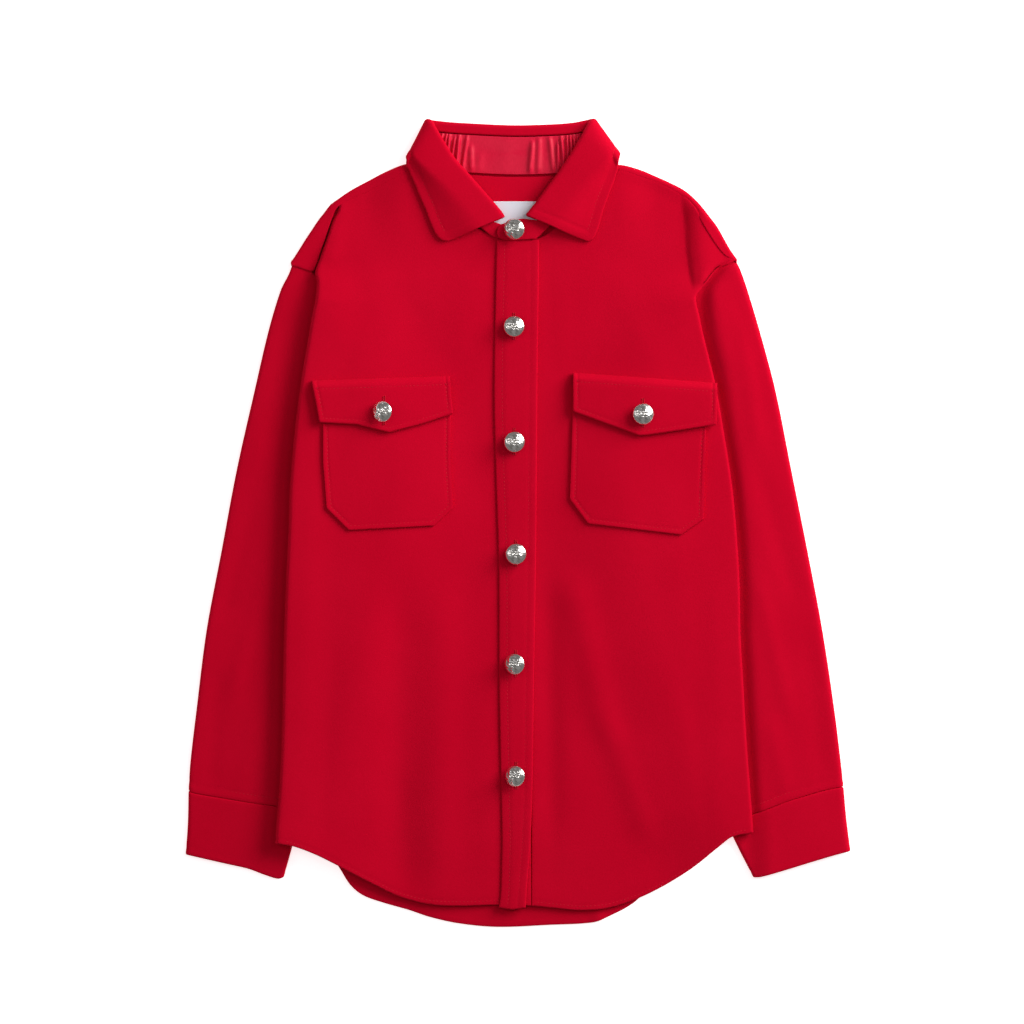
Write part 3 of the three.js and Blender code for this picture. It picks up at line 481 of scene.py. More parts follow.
# Sharp valley below the left shoulder
VALLEY = table(
    ["y", "x"],
    [232, 176],
    [240, 174],
    [274, 169.5],
    [300, 168],
    [324, 164.5],
)
SHOULDER_VALLEY = {"rise": 6.2, "width": 6.5}
SLEEVE_CREASES = {
    "right": table(
        ["x1", "y1", "x2", "y2", "width", "rise"],
        [-244, 190, -262, 60, 9, 1.0],
        [-262, 20, -296, -90, 11, -0.8],
        [-246, -40, -286, -170, 9, 0.8],
        [-300, -150, -308, -262, 10, -0.6],
        [-262, -190, -274, -276, 9, 0.6],
    ),
    "left": table(
        ["x1", "y1", "x2", "y2", "width", "rise"],
        [224, 200, 240, 80, 8, 0.9],
        [238, 60, 276, -70, 10, -0.8],
        [240, -60, 272, -190, 9, 0.8],
        [290, -120, 304, -250, 10, -0.6],
        [252, -200, 268, -270, 9, 0.6],
    ),
}


def step(t):
    """0 below 0, 1 above 1, and a smooth rise between."""
    s = np.clip(t, 0, 1)
    return s * s * (3 - 2 * s)


def mix(a, b, t):
    return a + (b - a) * t


def through(xs, ys):
    """A smooth curve through number pairs: cubic between them, with each pair's slope taken from
    its neighbours, and level outside the end pairs."""
    order = np.argsort(xs)
    x, y = np.asarray(xs, float)[order], np.asarray(ys, float)[order]
    before, after = np.maximum(np.arange(len(x)) - 1, 0), np.minimum(np.arange(len(x)) + 1, len(x) - 1)
    slope = (y[after] - y[before]) / (x[after] - x[before])

    def at(t):
        c = np.clip(t, x[0], x[-1])
        i = np.clip(np.searchsorted(x, c, side="right") - 1, 0, len(x) - 2)
        h = x[i + 1] - x[i]
        s = (c - x[i]) / h
        rise = y[i] * (1 + 2 * s) * (1 - s) ** 2 + y[i + 1] * (3 - 2 * s) * s * s
        return rise + h * (slope[i] * s * (1 - s) ** 2 - slope[i + 1] * (1 - s) * s * s)

    return at


def column(rows, key, name):
    return through(rows[key], rows[name])


def line(points, smooth=True):
    """A plan line through points, smooth or with straight sides, by the share of its length."""
    p = np.array(points, float)
    along = np.concatenate([[0], np.cumsum(np.hypot(*np.diff(p, axis=0).T))])
    share = along / along[-1]
    if smooth:
        axes = [through(share, p[:, k]) for k in (0, 1)]
    else:
        axes = [lambda t, k=k: np.interp(t, share, p[:, k]) for k in (0, 1)]
    return lambda t: np.stack([axis(t) for axis in axes], -1)


side = {name: column(BODY_SIDE, "y", name) for name in ("right", "right_front", "left")}
ridge = {name: column(RIDGE, "y", name) for name in ("right", "left", "strength")}
front_hem = column(FRONT_HEM, "x", "y")
back_hem = column(BACK_HEM, "x", "y")
outline = column(SHOULDER, "x", "outline")
shoulder_seam = column(SHOULDER, "x", "seam")
neck_back = column(NECK, "x", "back")
neck_front = column(NECK, "x", "front")
hidden = {name: column(HIDDEN_SLEEVE, "y", name) for name in ("right", "left", "lift")}
valley = column(VALLEY, "y", "x")
placket_free = column(PLACKET, "y", "free")
placket_seam = column(PLACKET, "y", "seam")


def undulation(x, y, seed, size=95):
    """Soft irregular waves between -1 and 1: five sines of mixed directions and lengths, seeded."""
    random = np.random.default_rng(seed)
    total = 0
    for _ in range(5):
        turn, phase = random.uniform(0, 2 * np.pi, 2)
        length = size * random.uniform(0.7, 1.8)
        total = total + np.sin(2 * np.pi * (x * np.cos(turn) + y * np.sin(turn)) / length + phase)
    return total / 5


def fold(x1, y1, x2, y2, width, rise, x, y):
    """One soft fold: highest along its line, fading to both sides and to both ends."""
    dx, dy = x2 - x1, y2 - y1
    share = ((x - x1) * dx + (y - y1) * dy) / (dx * dx + dy * dy)
    off = ((x - x1) * dy - (y - y1) * dx) / np.hypot(dx, dy)
    ends = step(share / 0.3 + 0.5) * step((1 - share) / 0.3 + 0.5)
    return rise * np.exp(-((off / width) ** 2)) * ends


def folds(rows, x, y):
    return sum(fold(*row, x, y) for row in zip(*rows.values()))


def lift(x, y):
    """Height of the back's underside: over the hidden part of the sleeves and the collar's back."""
    over_right = step((hidden["right"](y) + LIFT_RAMP - x) / LIFT_RAMP)
    over_left = step((x - hidden["left"](y) + LIFT_RAMP) / LIFT_RAMP)
    c = COLLAR_LIFT
    over_collar = step((y - c["low"]) / (c["high"] - c["low"]))
    over_collar = over_collar * (1 - step((np.abs(x - c["centre"]) - c["reach"]) / c["fade"]))
    k = HEM_KINK
    kink = k["rise"] * np.exp(-(((x - k["x"]) / k["width"]) ** 2)) * step(1 - (y - k["y"]) / k["length"])
    return hidden["lift"](y) * (over_right + over_left) + c["height"] * over_collar + kink


def loft(x, y):
    """Hollow between back and fronts."""
    def rise(inside):
        return step(np.where(inside > 0, 1 - inside / SIDE_FOLD["width"], 1 + inside / 6))

    sides = SIDE_FOLD["right"] * rise(x - ridge["right"](y)) + SIDE_FOLD["left"] * rise(ridge["left"](y) - x)
    b = BROAD_RISE
    broad = b["rise"] * step(1 - (x - ridge["right"](y)) / b["width"]) * step((x - ridge["right"](y)) / 6 + 1)
    sides = (sides + broad) * ridge["strength"](y)
    under = (outline(x) - y) * 0.85
    on_shoulder = (np.abs(x) > 96) & (y > 200)
    shoulders = SHOULDER_FOLD["rise"] * step(1 - under / SHOULDER_FOLD["width"]) * on_shoulder
    hem = HEM_RISE["rise"] * step(1 - (y - front_hem(x)) / HEM_RISE["width"])
    return SLACK + sides + shoulders + hem + folds(FOLDS, x, y)


def shoulder_fold(x, y):
    """The fold below the left shoulder: a sharp valley, from which the cloth rises at once towards
    the sleeve, less and less, and then sinks back in part."""
    off = np.maximum(x - valley(y), 0)
    rise = SHOULDER_VALLEY["rise"] * (1 - np.exp(-off / SHOULDER_VALLEY["width"]))
    return rise * (1 - 0.6 * step((off - 10) / 34)) * step((332 - y) / 22) * step((y - 230) / 16)


def front_top(x, y):
    """Height of the fronts' upper face, with the finer creases that only the looks have."""
    inner = step((x - side["right"](y)) / 9) * step((side["left"](y) - x) / 9)
    fine = folds(CREASES, x, y) + 0.32 * undulation(x, y, 7) + shoulder_fold(x, y)
    return lift(x, y) + loft(x, y) + 2 * CLOTH + fine * inner


def rim(distance, thickness):
    """Share of a cloth's thickness at a distance from its edge, for an edge turned in a half circle."""
    radius = thickness / 2
    return np.sqrt(np.clip(1 - (1 - np.clip(distance / radius, 0, 1)) ** 2, 0, 1))


def spread(length, spacing, thickness):
    """Distances from 0 to a length, evenly spaced but for four close ones at each rounded edge."""
    radius = thickness / 2
    near = radius * (1 - np.cos(np.radians([0, 22.5, 45, 67.5])))
    middle = np.linspace(radius, length - radius, max(int(round((length - 2 * radius) / spacing)), 2) + 1)
    return np.concatenate([near, middle, length - near[::-1]])


def border_distance(middle, ring=False):
    """Smaller distance to a grid's border, measured along its rows and its columns."""
    nearest = np.inf
    for axis in (0,) if ring else (0, 1):
        gaps = np.linalg.norm(np.diff(middle, axis=axis), axis=-1)
        along = np.concatenate([np.zeros_like(gaps.take([0], axis)), np.cumsum(gaps, axis)], axis)
        nearest = np.minimum(nearest, np.minimum(along, along.take([-1], axis) - along))
    return nearest


def distance_to(path, x, y):
    """Plan distance from each point to the nearest of a path's straight pieces."""
    a, d = path[:-1], np.diff(path, axis=0)
    p = np.stack([x, y], -1)[..., None, :] - a
    t = np.clip((p * d).sum(-1) / (d * d).sum(-1), 0, 1)
    return np.sqrt(((p - t[..., None] * d) ** 2).sum(-1)).min(-1)


def beside(path, offset):
    """A plan path moved to its left by an offset, point by point along its normals."""
    d = np.gradient(path, axis=0)
    normal = np.stack([-d[:, 1], d[:, 0]], -1) / np.hypot(d[:, 0], d[:, 1])[:, None]
    return path + normal * offset


def pulled(distance, inset):
    """How much a row of stitches takes off a cloth's thickness, at a distance from the edge. The
    cloth between the stitches and the edge swells a little, as a bead."""
    groove = PULL["depth"] * np.exp(-(((distance - inset) / PULL["width"]) ** 2))
    bead = PULL["bead"] * np.exp(-(((distance - inset * 0.48) / (inset * 0.3)) ** 2))
    return groove - bead


def quads(g):
    """The four-sided faces between a grid's points."""
    return np.stack([g[:-1, :-1], g[:-1, 1:], g[1:, 1:], g[1:, :-1]], -1).reshape(-1, 4)


def shell(name, middle, thickness, pull=0, ring=False):
    """A closed mesh round a middle surface: one sheet of points half the thickness along its normals,
    one half the thickness against them, sharing their border points. Stitches take their pull off the
    thickness. A ring's columns close on themselves."""
    rows, columns = middle.shape[:2]
    thickness = np.maximum(thickness - pull, THINNEST) * rim(border_distance(middle, ring), thickness)
    if ring:
        wrapped = np.concatenate([middle[:, -1:], middle, middle[:, :1]], 1)
        across = (wrapped[:, 2:] - wrapped[:, :-2]) / 2
    else:
        across = np.gradient(middle, axis=1)
    down = np.gradient(middle, axis=0)
    normal = np.cross(across, down)
    normal /= np.maximum(np.linalg.norm(normal, axis=-1, keepdims=True), 1e-9)
    half = np.broadcast_to(thickness, (rows, columns))[..., None] / 2
    walls = [middle + normal * half, middle - normal * half]
    points = np.concatenate([wall.reshape(-1, 3) for wall in walls])
    count = rows * columns
    upper = np.arange(count).reshape(rows, columns)
    lower = upper + count
    border = np.zeros((rows, columns), bool)
    border[[0, -1]] = True
    if not ring:
        border[:, [0, -1]] = True
    lower[border] = upper[border]
    if ring:
        upper, lower = (np.concatenate([g, g[:, :1]], 1) for g in (upper, lower))
    faces = np.concatenate([quads(upper), quads(lower)[:, ::-1]])
    return mesh_piece(name, points, faces)


def mesh_piece(name, points, faces):
    """A smooth-shaded mesh object from points in millimetres. Unused points go, and the faces are
    turned outwards if the volume they enclose comes out negative."""
    used, index = np.unique(faces, return_inverse=True)
    faces = index.reshape(faces.shape)
    points = points[used]
    a, b, c = (points[faces[:, k]] for k in (0, 1, 2))
    volume = (a * np.cross(b, c)).sum()
    if faces.shape[1] == 4:
        volume += (a * np.cross(c, points[faces[:, 3]])).sum()
    if volume < 0:
        faces = faces[:, ::-1]
    mesh = bpy.data.meshes.new(name)
    mesh.from_pydata(points * MM, [], faces)
    mesh.polygons.foreach_set("use_smooth", np.ones(len(faces), bool))
    mesh.update()
    piece = bpy.data.objects.new(name, mesh)
    bpy.context.scene.collection.objects.link(piece)
    return piece


def stand_for(piece, node, material):
    """A piece of the garment: it rides on the one body and stands for its solid."""
    piece.data.materials.append(material)
    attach(piece, "root")
    if node:
        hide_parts(node)
    return piece


def walk(path, pitch):
    """Points evenly spaced along a path, and the directions there."""
    along = np.concatenate([[0], np.cumsum(np.linalg.norm(np.diff(path, axis=0), axis=1))])
    places = np.arange(pitch / 2, along[-1], pitch)
    at = [
        np.stack([np.interp(places + shift, along, path[:, k]) for k in range(3)], -1)
        for shift in (-0.5, 0, 0.5)
    ]
    direction = at[2] - at[0]
    return at[1], direction / np.maximum(np.linalg.norm(direction, axis=1, keepdims=True), 1e-9)


STITCH_FORM = np.array([
    [-0.5, 0, -0.3], [-0.3, -0.5, 0], [-0.3, 0, 0.75], [-0.3, 0.5, 0],
    [0.3, -0.5, 0], [0.3, 0, 0.75], [0.3, 0.5, 0], [0.5, 0, -0.3],
    [0, -0.62, 0], [0, 0, 1], [0, 0.62, 0], [0, 0, -0.6],
])
STITCH_FACES = np.array([
    [0, 2, 1], [0, 3, 2], [1, 2, 8], [2, 9, 8], [2, 3, 9], [3, 10, 9], [8, 9, 4], [9, 5, 4],
    [9, 10, 5], [10, 6, 5], [4, 5, 7], [5, 6, 7], [0, 1, 11], [1, 8, 11], [8, 4, 11], [4, 7, 11],
    [7, 6, 11], [6, 10, 11], [10, 3, 11], [3, 0, 11],
])


def stitches(places, directions, normals, length, width, height):
    """Many stitches as one set of points and faces: the same small lozenge at each place, along the
    direction of sewing and standing up along the cloth's normal."""
    aside = np.cross(normals, directions)
    size = np.array([length, width, height])
    form = STITCH_FORM * size
    axes = np.stack([directions, aside, normals], 1)
    points = places[:, None, :] + np.einsum("sk,nkd->nsd", form, axes)
    faces = STITCH_FACES[None] + np.arange(len(places))[:, None, None] * len(STITCH_FORM)
    return points.reshape(-1, 3), faces.reshape(-1, 3)


# The places, directions, normals and lengths of every stitch, gathered as the pieces are made
SEWN, SEWN_LINING, SEWN_LABEL = [], [], []


def sew(path, pitch=STITCH["pitch"], length=STITCH["length"], rows=SEWN):
    """Adds a row of stitches along a path in space, on cloth that faces up."""
    places, directions = walk(path, pitch)
    rows.append((places, directions, np.zeros_like(places) + [0, 0, 1.0], length))


def on_height(path, height):
    """A plan path raised to a height that is a function of x and y."""
    return np.column_stack([path, height(path[:, 0], path[:, 1])])


# Fronts and back

def side_reach(radius):
    """Half width of the fold at the body's side, which is taller than it is wide."""
    return np.minimum(radius, SIDE_REACH["base"] + SIDE_REACH["share"] * radius)


def hem_line(hem):
    """A hem's plan points from side to side."""
    x = np.linspace(*HEM_SPAN, 240)
    return np.stack([x, hem(x)], -1)


def front(name, centre, side_edge, side_top, wool):
    """A front: rows from its top to its hem, columns from its centre edge to the fold at its side,
    and then a quarter turn down to the side seam."""
    inward = np.sign(centre - side_top)
    down = spread(690, 2.7, CLOTH)
    across = spread(abs(side_top - centre) + 12, 2.7, CLOTH)
    across = across[:-4]
    u = across[None] / across[-1]
    v = down[:, None] / down[-1]

    k = ARMHOLE_CORNER

    def placed(y):
        """Across, the columns are evenly spaced, but close to the left armhole's corner."""
        edge = side_edge(y)
        r = (front_top(edge, y) - lift(edge, y) - SIDE_SEAM) / 2
        line_x = k["x"] + k["slope"] * (y - k["y"])
        steady = np.where((y > k["y"]) & (edge > 0), np.minimum(edge, line_x), edge)
        return r, mix(centre, steady + inward * side_reach(r), u) + (edge - steady) * u**8

    x_top = mix(centre, side_top, u)
    for _ in range(6):
        steep = (shoulder_seam(x_top + 1) - shoulder_seam(x_top - 1)) / 2
        at_shoulder = shoulder_seam(x_top) + FRONT_TOP_GAP["shoulder"] * np.hypot(1, steep)
        at_neck = (x_top > NECK_SPAN[0]) & (x_top < NECK_SPAN[1])
        top = np.where(at_neck, neck_front(x_top) + FRONT_TOP_GAP["neck"], at_shoulder)
        x_top = mix(x_top, placed(top)[1], 0.6)
    y = mix(top, front_hem(mix(centre, side_edge(-400), u)), v)
    r, x = placed(y)
    z = front_top(x, y) - CLOTH / 2
    angle = np.radians(QUARTER_TURN)[None]
    r_end, x_end, y_end = (np.repeat(g[:, -1:], angle.shape[1], 1) for g in (r, x, y))
    turn = r_end - CLOTH / 2
    x = np.concatenate([x, x_end - inward * (side_reach(r_end) - CLOTH / 2) * np.sin(angle)], 1)
    z = np.concatenate([z, front_top(x_end, y_end) - r_end + turn * np.cos(angle)], 1)
    y = np.concatenate([y, y_end], 1)
    hem = hem_line(front_hem)
    piece = shell(name, np.stack([x, y, z], -1), CLOTH, pulled(distance_to(hem, x, y), INSET["hem"]))
    low, high = sorted((centre, side_edge(-330) + 5 * inward))
    row = hem[(hem[:, 0] > low + 3) & (hem[:, 0] < high - 3)]
    path = beside(row, INSET["hem"])
    sew(on_height(path, lambda a, b: front_top(a, b) - PULL["depth"] / 2))
    return stand_for(piece, name.replace("wool_", ""), wool)


def back_top(x):
    """How far a place lies on a shoulder and not at the neck, the radius of the turn over the
    shoulder, and where along y the turn starts."""
    c = NECK_CORNER
    over = np.maximum(step((c["right"] - x) / c["right_width"]), step((x - c["left"]) / c["left_width"]))
    inner = outline(x) - 4
    r = (front_top(x, inner) - lift(x, inner)) / 2
    return over, r, mix(neck_back(x) - SEAM - NECK_SLACK, outline(x) - r, over)


def back(wool):
    """The back: rows from the seam on the front of the shoulders, over the shoulders in a half turn,
    and down to the hem, with a quarter turn up at both sides. At the neck the first rows lie close
    together at its edge."""
    turned = np.radians([90, 84, 74, 62, 49, 36, 24, 12])
    u = np.concatenate([np.zeros(8), np.linspace(0, 1, 122), np.ones(8)])[None]
    angle = np.concatenate([turned, np.zeros(122), turned[::-1]])[None]
    sign = np.where(u > 0.5, 1, -1)
    b = BACK_COLUMNS
    x = mix(b["right"], b["left"], u) + sign * b["reach"] * angle / np.radians(90)
    over, r, top_y = back_top(x)
    flat_rows = 1 - np.array([0, 0.02, 0.05, 0.1, 0.2, 0.35, 0.5, 0.68, 0.85])
    flat_share = np.concatenate([flat_rows, np.zeros(15)])[:, None]
    turn = np.concatenate([np.ones(9), np.linspace(1, 0, 15)])[:, None]
    squeeze = np.linspace(NECK_SLACK, 0, 24)[:, None] * (1 - over)
    bend = np.radians(-90 + 180 * over * turn)
    reach = r - CLOTH / 2
    y = top_y + reach * np.cos(bend) - flat_share * (outline(x) - r - shoulder_seam(x)) * over**4 + squeeze
    z = lift(x, top_y) + r + reach * np.sin(bend)
    shoulders = np.stack([np.broadcast_to(x, y.shape), y, z], -1)

    v = spread(720, 4, CLOTH)[1:, None] / 720
    start = back_top(mix(b["right"], b["left"], u))[2]
    y = mix(start, back_hem(mix(-242, 236, u)), v)
    edges = [side["right"](y), side["left"](y)]
    radii = [(front_top(e, y) - lift(e, y) - SIDE_SEAM) / 2 for e in edges]
    x = mix(edges[0] + side_reach(radii[0]), edges[1] - side_reach(radii[1]), u)
    bent = 1 - step((y - 243) / 12)
    r = np.where(u > 0.5, radii[1], radii[0])
    x = x + sign * (side_reach(r) - CLOTH / 2 * bent) * np.sin(angle)
    z = lift(x, y) + CLOTH / 2 + (r - CLOTH / 2) * (1 - np.cos(angle)) * bent
    middle = np.concatenate([shoulders, np.stack([x, y, z], -1)])
    hem = hem_line(back_hem)
    pull = pulled(distance_to(hem, middle[..., 0], middle[..., 1]), INSET["hem"])
    row = beside(hem[(hem[:, 0] > -192) & (hem[:, 0] < 140)], INSET["hem"])
    sew(on_height(row, lambda a, b: lift(a, b) + CLOTH - PULL["depth"] / 2))
    return stand_for(shell("wool_back", middle, CLOTH, pull), "back", wool)


# Sleeves

def patch(near, far, head, foot):
    """A plan patch between four lines, as shares across (s) and along (v): the mean of the straight
    mixes across and along, less the mix of its corners."""
    def at(s, v):
        s, v = s[..., None], v[..., None]
        across = mix(near(v[..., 0]), far(v[..., 0]), s)
        along = mix(head(s[..., 0]), foot(s[..., 0]), v)
        ends = [curve(np.array(k)) for curve in (head, foot) for k in (0.0, 1.0)]
        return across + along - mix(mix(ends[0], ends[1], s), mix(ends[2], ends[3], s), v)
    return at


def tube(plan, length, cloth, top):
    """Middle surface of a flattened tube, row by row from its head: a half turn at the near edge, the
    upper wall at height top(x, y), a half turn at the far edge, and a flat lower wall."""
    v = (spread(length, 3, cloth) / length)[:, None]
    ends = [plan(np.full_like(v, k), v) for k in (0.0, 1.0)]
    width = np.linalg.norm(ends[1] - ends[0], axis=-1)
    radii = [top(*np.moveaxis(plan(np.full_like(v, k), v), -1, 0)) / 2 for k in (0.04, 0.96)]
    first, last = radii[0] / width, 1 - radii[1] / width
    turn = np.radians(np.linspace(-90, 90, 11))[None]
    upper = np.linspace(0, 1, 44)[None, 1:-1]
    lower = np.linspace(1, 0, 24)[None, 1:-1]
    r = [radius - cloth / 2 for radius in radii]
    s = np.concatenate([
        first - r[0] * np.cos(turn) / width, mix(first, last, upper),
        last + r[1] * np.cos(turn) / width, mix(first, last, lower),
    ], 1)
    xy = plan(s, np.broadcast_to(v, s.shape))
    height = top(xy[..., 0], xy[..., 1]) - cloth / 2
    n, m = turn.shape[1], upper.shape[1]
    z = np.full(s.shape, cloth / 2)
    z[:, :n] = radii[0] + r[0] * np.sin(turn)
    z[:, n:n + m] = height[:, n:n + m]
    z[:, n + m:2 * n + m] = radii[1] - r[1] * np.sin(turn)
    return np.concatenate([xy, z[..., None]], -1)


def arm(which, wool):
    """A sleeve and its cuff."""
    a, tuck = ARM[which], TUCK[which]
    edge = side["right_front"] if which == "right" else side["left"]
    sign = -1 if which == "right" else 1
    seed = 3 if which == "right" else 4

    def beside_body(x, y):
        return step((sign * (x - edge(y)) - tuck["from"]) / tuck["width"])

    def hollow(x, y):
        """The hollow between the left front's edge and the sleeve, below the armhole."""
        h = LEFT_HOLLOW
        along = step((y - h["low"]) / h["low_width"]) * step((h["high"] - y) / h["high_width"])
        return 1 - (1 - step((x - h["x"]) / h["width"])) * along

    def sleeve_top(x, y):
        free = beside_body(x, y) * (hollow(x, y) if which == "left" else 1)
        fine = folds(SLEEVE_CREASES[which], x, y) + 0.5 * undulation(x, y, seed, 120)
        off = sign * (x - edge(y))
        high = SLEEVE_RIDGE[which] * (1 + 1.5 * step((y - 110) / 60) * step((250 - y) / 30))
        beside_ridge = high * np.exp(-(((off - 17) / np.where(off < 17, 9, 28)) ** 2)) * step((y + 290) / 80)
        return PRESSED + (SLEEVE_LOFT[which] + fine + beside_ridge) * free

    def cuff_free(x, y):
        if which == "right":
            return beside_body(x, y)
        return step((x - edge(y) + LEFT_CUFF["from"]) / LEFT_CUFF["width"])

    def cuff_top(x, y):
        raised = CUFF_LOFT[which] + 0.35 * undulation(x, y, seed, 60)
        return 2 * CUFF_CLOTH + 0.4 + raised * cuff_free(x, y)

    sleeve_plan = patch(line(a["outer"]), line(a["inner"]), line(a["armhole"]), line(a["seam"]))
    head = [[x, y - 0.05] for x, y in a["seam"]]
    cuff_plan = patch(line([head[0]] + a["cuff_outer"][1:]), line([head[-1]] + a["cuff_inner"][1:]),
                      line(head), line(a["cuff_edge"]))
    made = []
    for name, plan, length, cloth, top in (
        (f"sleeve_{which}", sleeve_plan, 560, CLOTH, sleeve_top),
        (f"cuff_{which}", cuff_plan, 66, CUFF_CLOTH, cuff_top),
    ):
        middle = tube(plan, length, cloth, top)
        row = line(a["seam"] if name.startswith("sleeve") else a["cuff_edge"])(np.linspace(0, 1, 60))
        inset = INSET["sleeve" if name.startswith("sleeve") else "cuff"]
        pull = pulled(distance_to(row, middle[..., 0], middle[..., 1]), inset) * (middle[..., 2] > cloth)
        piece = shell(f"wool_{name}", middle, cloth, pull, ring=True)
        sew(on_height(beside(row[2:-2], -sign * inset), lambda x, y: top(x, y) - PULL["depth"] / 2))
        made.append(stand_for(piece, name, wool))
    return made


# Pockets, placket and label

def slab(name, plan, under, thickness, pull=0):
    """A flat piece that follows what it lies on: its plan points, raised to the height under it."""
    z = under(plan[..., 0], plan[..., 1]) + thickness / 2
    return shell(name, np.concatenate([plan, z[..., None]], -1), thickness, pull)


def cornered(head, foot, height, thickness, spacing=1.9):
    """Plan points between an upper line and a lower line with corners, by rows from the upper one."""
    top, bottom = line(head, False), line(foot, False)
    pieces = np.hypot(*np.diff(np.array(foot, float), axis=0).T)
    share = np.concatenate([[0], np.cumsum(pieces)]) / pieces.sum()
    even = spread(pieces.sum(), spacing, thickness) / pieces.sum()
    apart = np.abs(even[:, None] - share[None, 1:-1]).min(1) > 0.35 * spacing / pieces.sum()
    s = np.sort(np.concatenate([even[apart], share[1:-1]]))
    below = bottom(s)
    above = top((below[:, 0] - head[0][0]) / (head[1][0] - head[0][0]))
    v = (spread(height, spacing, thickness) / height)[:, None, None]
    return mix(mix(above, top(s), 0.5)[None], below[None], v)


def pocket(which, wool):
    """A pocket and its flap, which rises from the front over the pocket's top edge."""
    p = POCKETS[which]
    flap_top = line(p["flap_top"], False)
    start, end = p["flap_top"]

    def on_front(x, y):
        return front_top(x, y) + SEWN_LAY

    def over_pocket(x, y):
        below = flap_top((x - start[0]) / (end[0] - start[0]))[..., 1] - y
        return on_front(x, y) + (CLOTH + FLAP_STANDS) * step(below / 8)

    sewn = np.array([p["top"][0], *p["foot"], p["top"][1]], float)
    plan = cornered(p["top"], p["foot"], 140, CLOTH)
    pull = pulled(distance_to(sewn, plan[..., 0], plan[..., 1]), INSET["pocket"])
    piece = slab(f"wool_pocket_{which}", plan, on_front, CLOTH, pull)
    made = [stand_for(piece, f"pocket_{which}", wool)]
    path = inside(sewn, INSET["pocket"])
    sew(on_height(path, lambda x, y: on_front(x, y) + CLOTH - PULL["depth"] / 2))

    plan = cornered(p["flap_top"], p["flap_foot"], 46, FLAP_CLOTH, 1.7)
    edge, top = np.array(p["flap_foot"], float), np.array(p["flap_top"], float)
    x, y = plan[..., 0], plan[..., 1]
    pull = pulled(distance_to(edge, x, y), INSET["flap"]) + pulled(distance_to(top, x, y), INSET["flap_top"])
    made.append(stand_for(slab(f"wool_flap_{which}", plan, over_pocket, FLAP_CLOTH, pull),
                          f"flap_{which}", wool))
    for path in (inside(edge, INSET["flap"]), beside(resampled(top[::-1]), INSET["flap_top"])[4:-4]):
        sew(on_height(path, lambda a, b: over_pocket(a, b) + FLAP_CLOTH - PULL["depth"] / 2))
    return made


def resampled(path, spacing=2.0):
    """A path with points an even distance apart."""
    along = np.concatenate([[0], np.cumsum(np.hypot(*np.diff(path, axis=0).T))])
    at = np.linspace(0, along[-1], max(int(along[-1] / spacing), 2))
    return np.stack([np.interp(at, along, path[:, k]) for k in (0, 1)], -1)


def inside(path, inset):
    """A cornered path moved inwards (to its left), with the points that come too close to it left
    out, so that its corners stay clean."""
    moved = beside(resampled(path, 1.0), inset)
    return moved[distance_to(path, moved[:, 0], moved[:, 1]) > inset - 0.12]


def placket(wool):
    """The button placket: a doubled band with a row of topstitching along both edges."""
    down = spread(PLACKET_TOP - PLACKET_END, 2.4, BAND_CLOTH)
    v = (down / down[-1])[:, None]
    across = spread(38, 1.6, BAND_CLOTH)
    u = across[None] / across[-1]
    y = mix(PLACKET_TOP, PLACKET_END, v)
    x = mix(placket_free(y), placket_seam(y), u)
    y = y - 2 * (1 - np.abs(2 * u - 1)) * step((v - 0.985) / 0.015)
    plan = np.stack([x, np.broadcast_to(y, x.shape)], -1)

    e = FREE_EDGE

    def under(a, b):
        free = step(1 - (a - placket_free(b)) / e["width"])
        return front_top(a, b) + SEWN_LAY + free * (e["waves"] * undulation(b, 0 * b, 21, 70) - e["sink"])

    off = np.minimum(x - placket_free(y), placket_seam(y) - x)
    thin = e["thinner"] * step(1 - (x - placket_free(y)) / e["thin_width"])
    piece = slab("wool_placket", plan, under, BAND_CLOTH, 0.6 * pulled(off, INSET["placket"]) + thin)
    rows = np.linspace(282 - SEAM - 3, PLACKET_END + 3, 260)
    for edge, inset in ((placket_free, INSET["placket"]), (placket_seam, -INSET["placket"])):
        path = np.stack([edge(rows) + inset, rows], -1)
        sew(on_height(path, lambda a, b: under(a, b) + BAND_CLOTH - PULL["depth"] / 2))
    return stand_for(piece, "placket", wool)


def label(cloth):
    """The bare neck label, a woven slip with stitches along its border."""
    box = LABEL
    width, height = box["right"] - box["left"], box["high"] - box["low"]
    u = spread(width, 2, SATIN)[None] / width
    v = spread(height, 2, SATIN)[:, None] / height
    x, y = mix(box["left"], box["right"], u), mix(box["high"], box["low"], v)
    plan = np.stack(np.broadcast_arrays(x, y), -1)

    def under(a, b):
        return lift(a, b) + CLOTH + LAY + 0.15 * undulation(a, b, 9, 30)

    piece = slab("neck_label", plan, under, SATIN)
    near, far_x, far_y = box["sewn"], width - box["sewn"], height - box["sewn"]
    border = np.array([[near, near], [near, far_y], [far_x, far_y], [far_x, near]])
    path = resampled(border + [box["left"], box["low"]])
    sew(on_height(path, lambda a, b: lift(a, b) + CLOTH + LAY + SATIN), pitch=2, length=1.2, rows=SEWN_LABEL)
    return stand_for(piece, "label", cloth)


# Collar

collar_column = {name: through(np.arange(len(COLLAR["x"])), COLLAR[name]) for name in COLLAR}


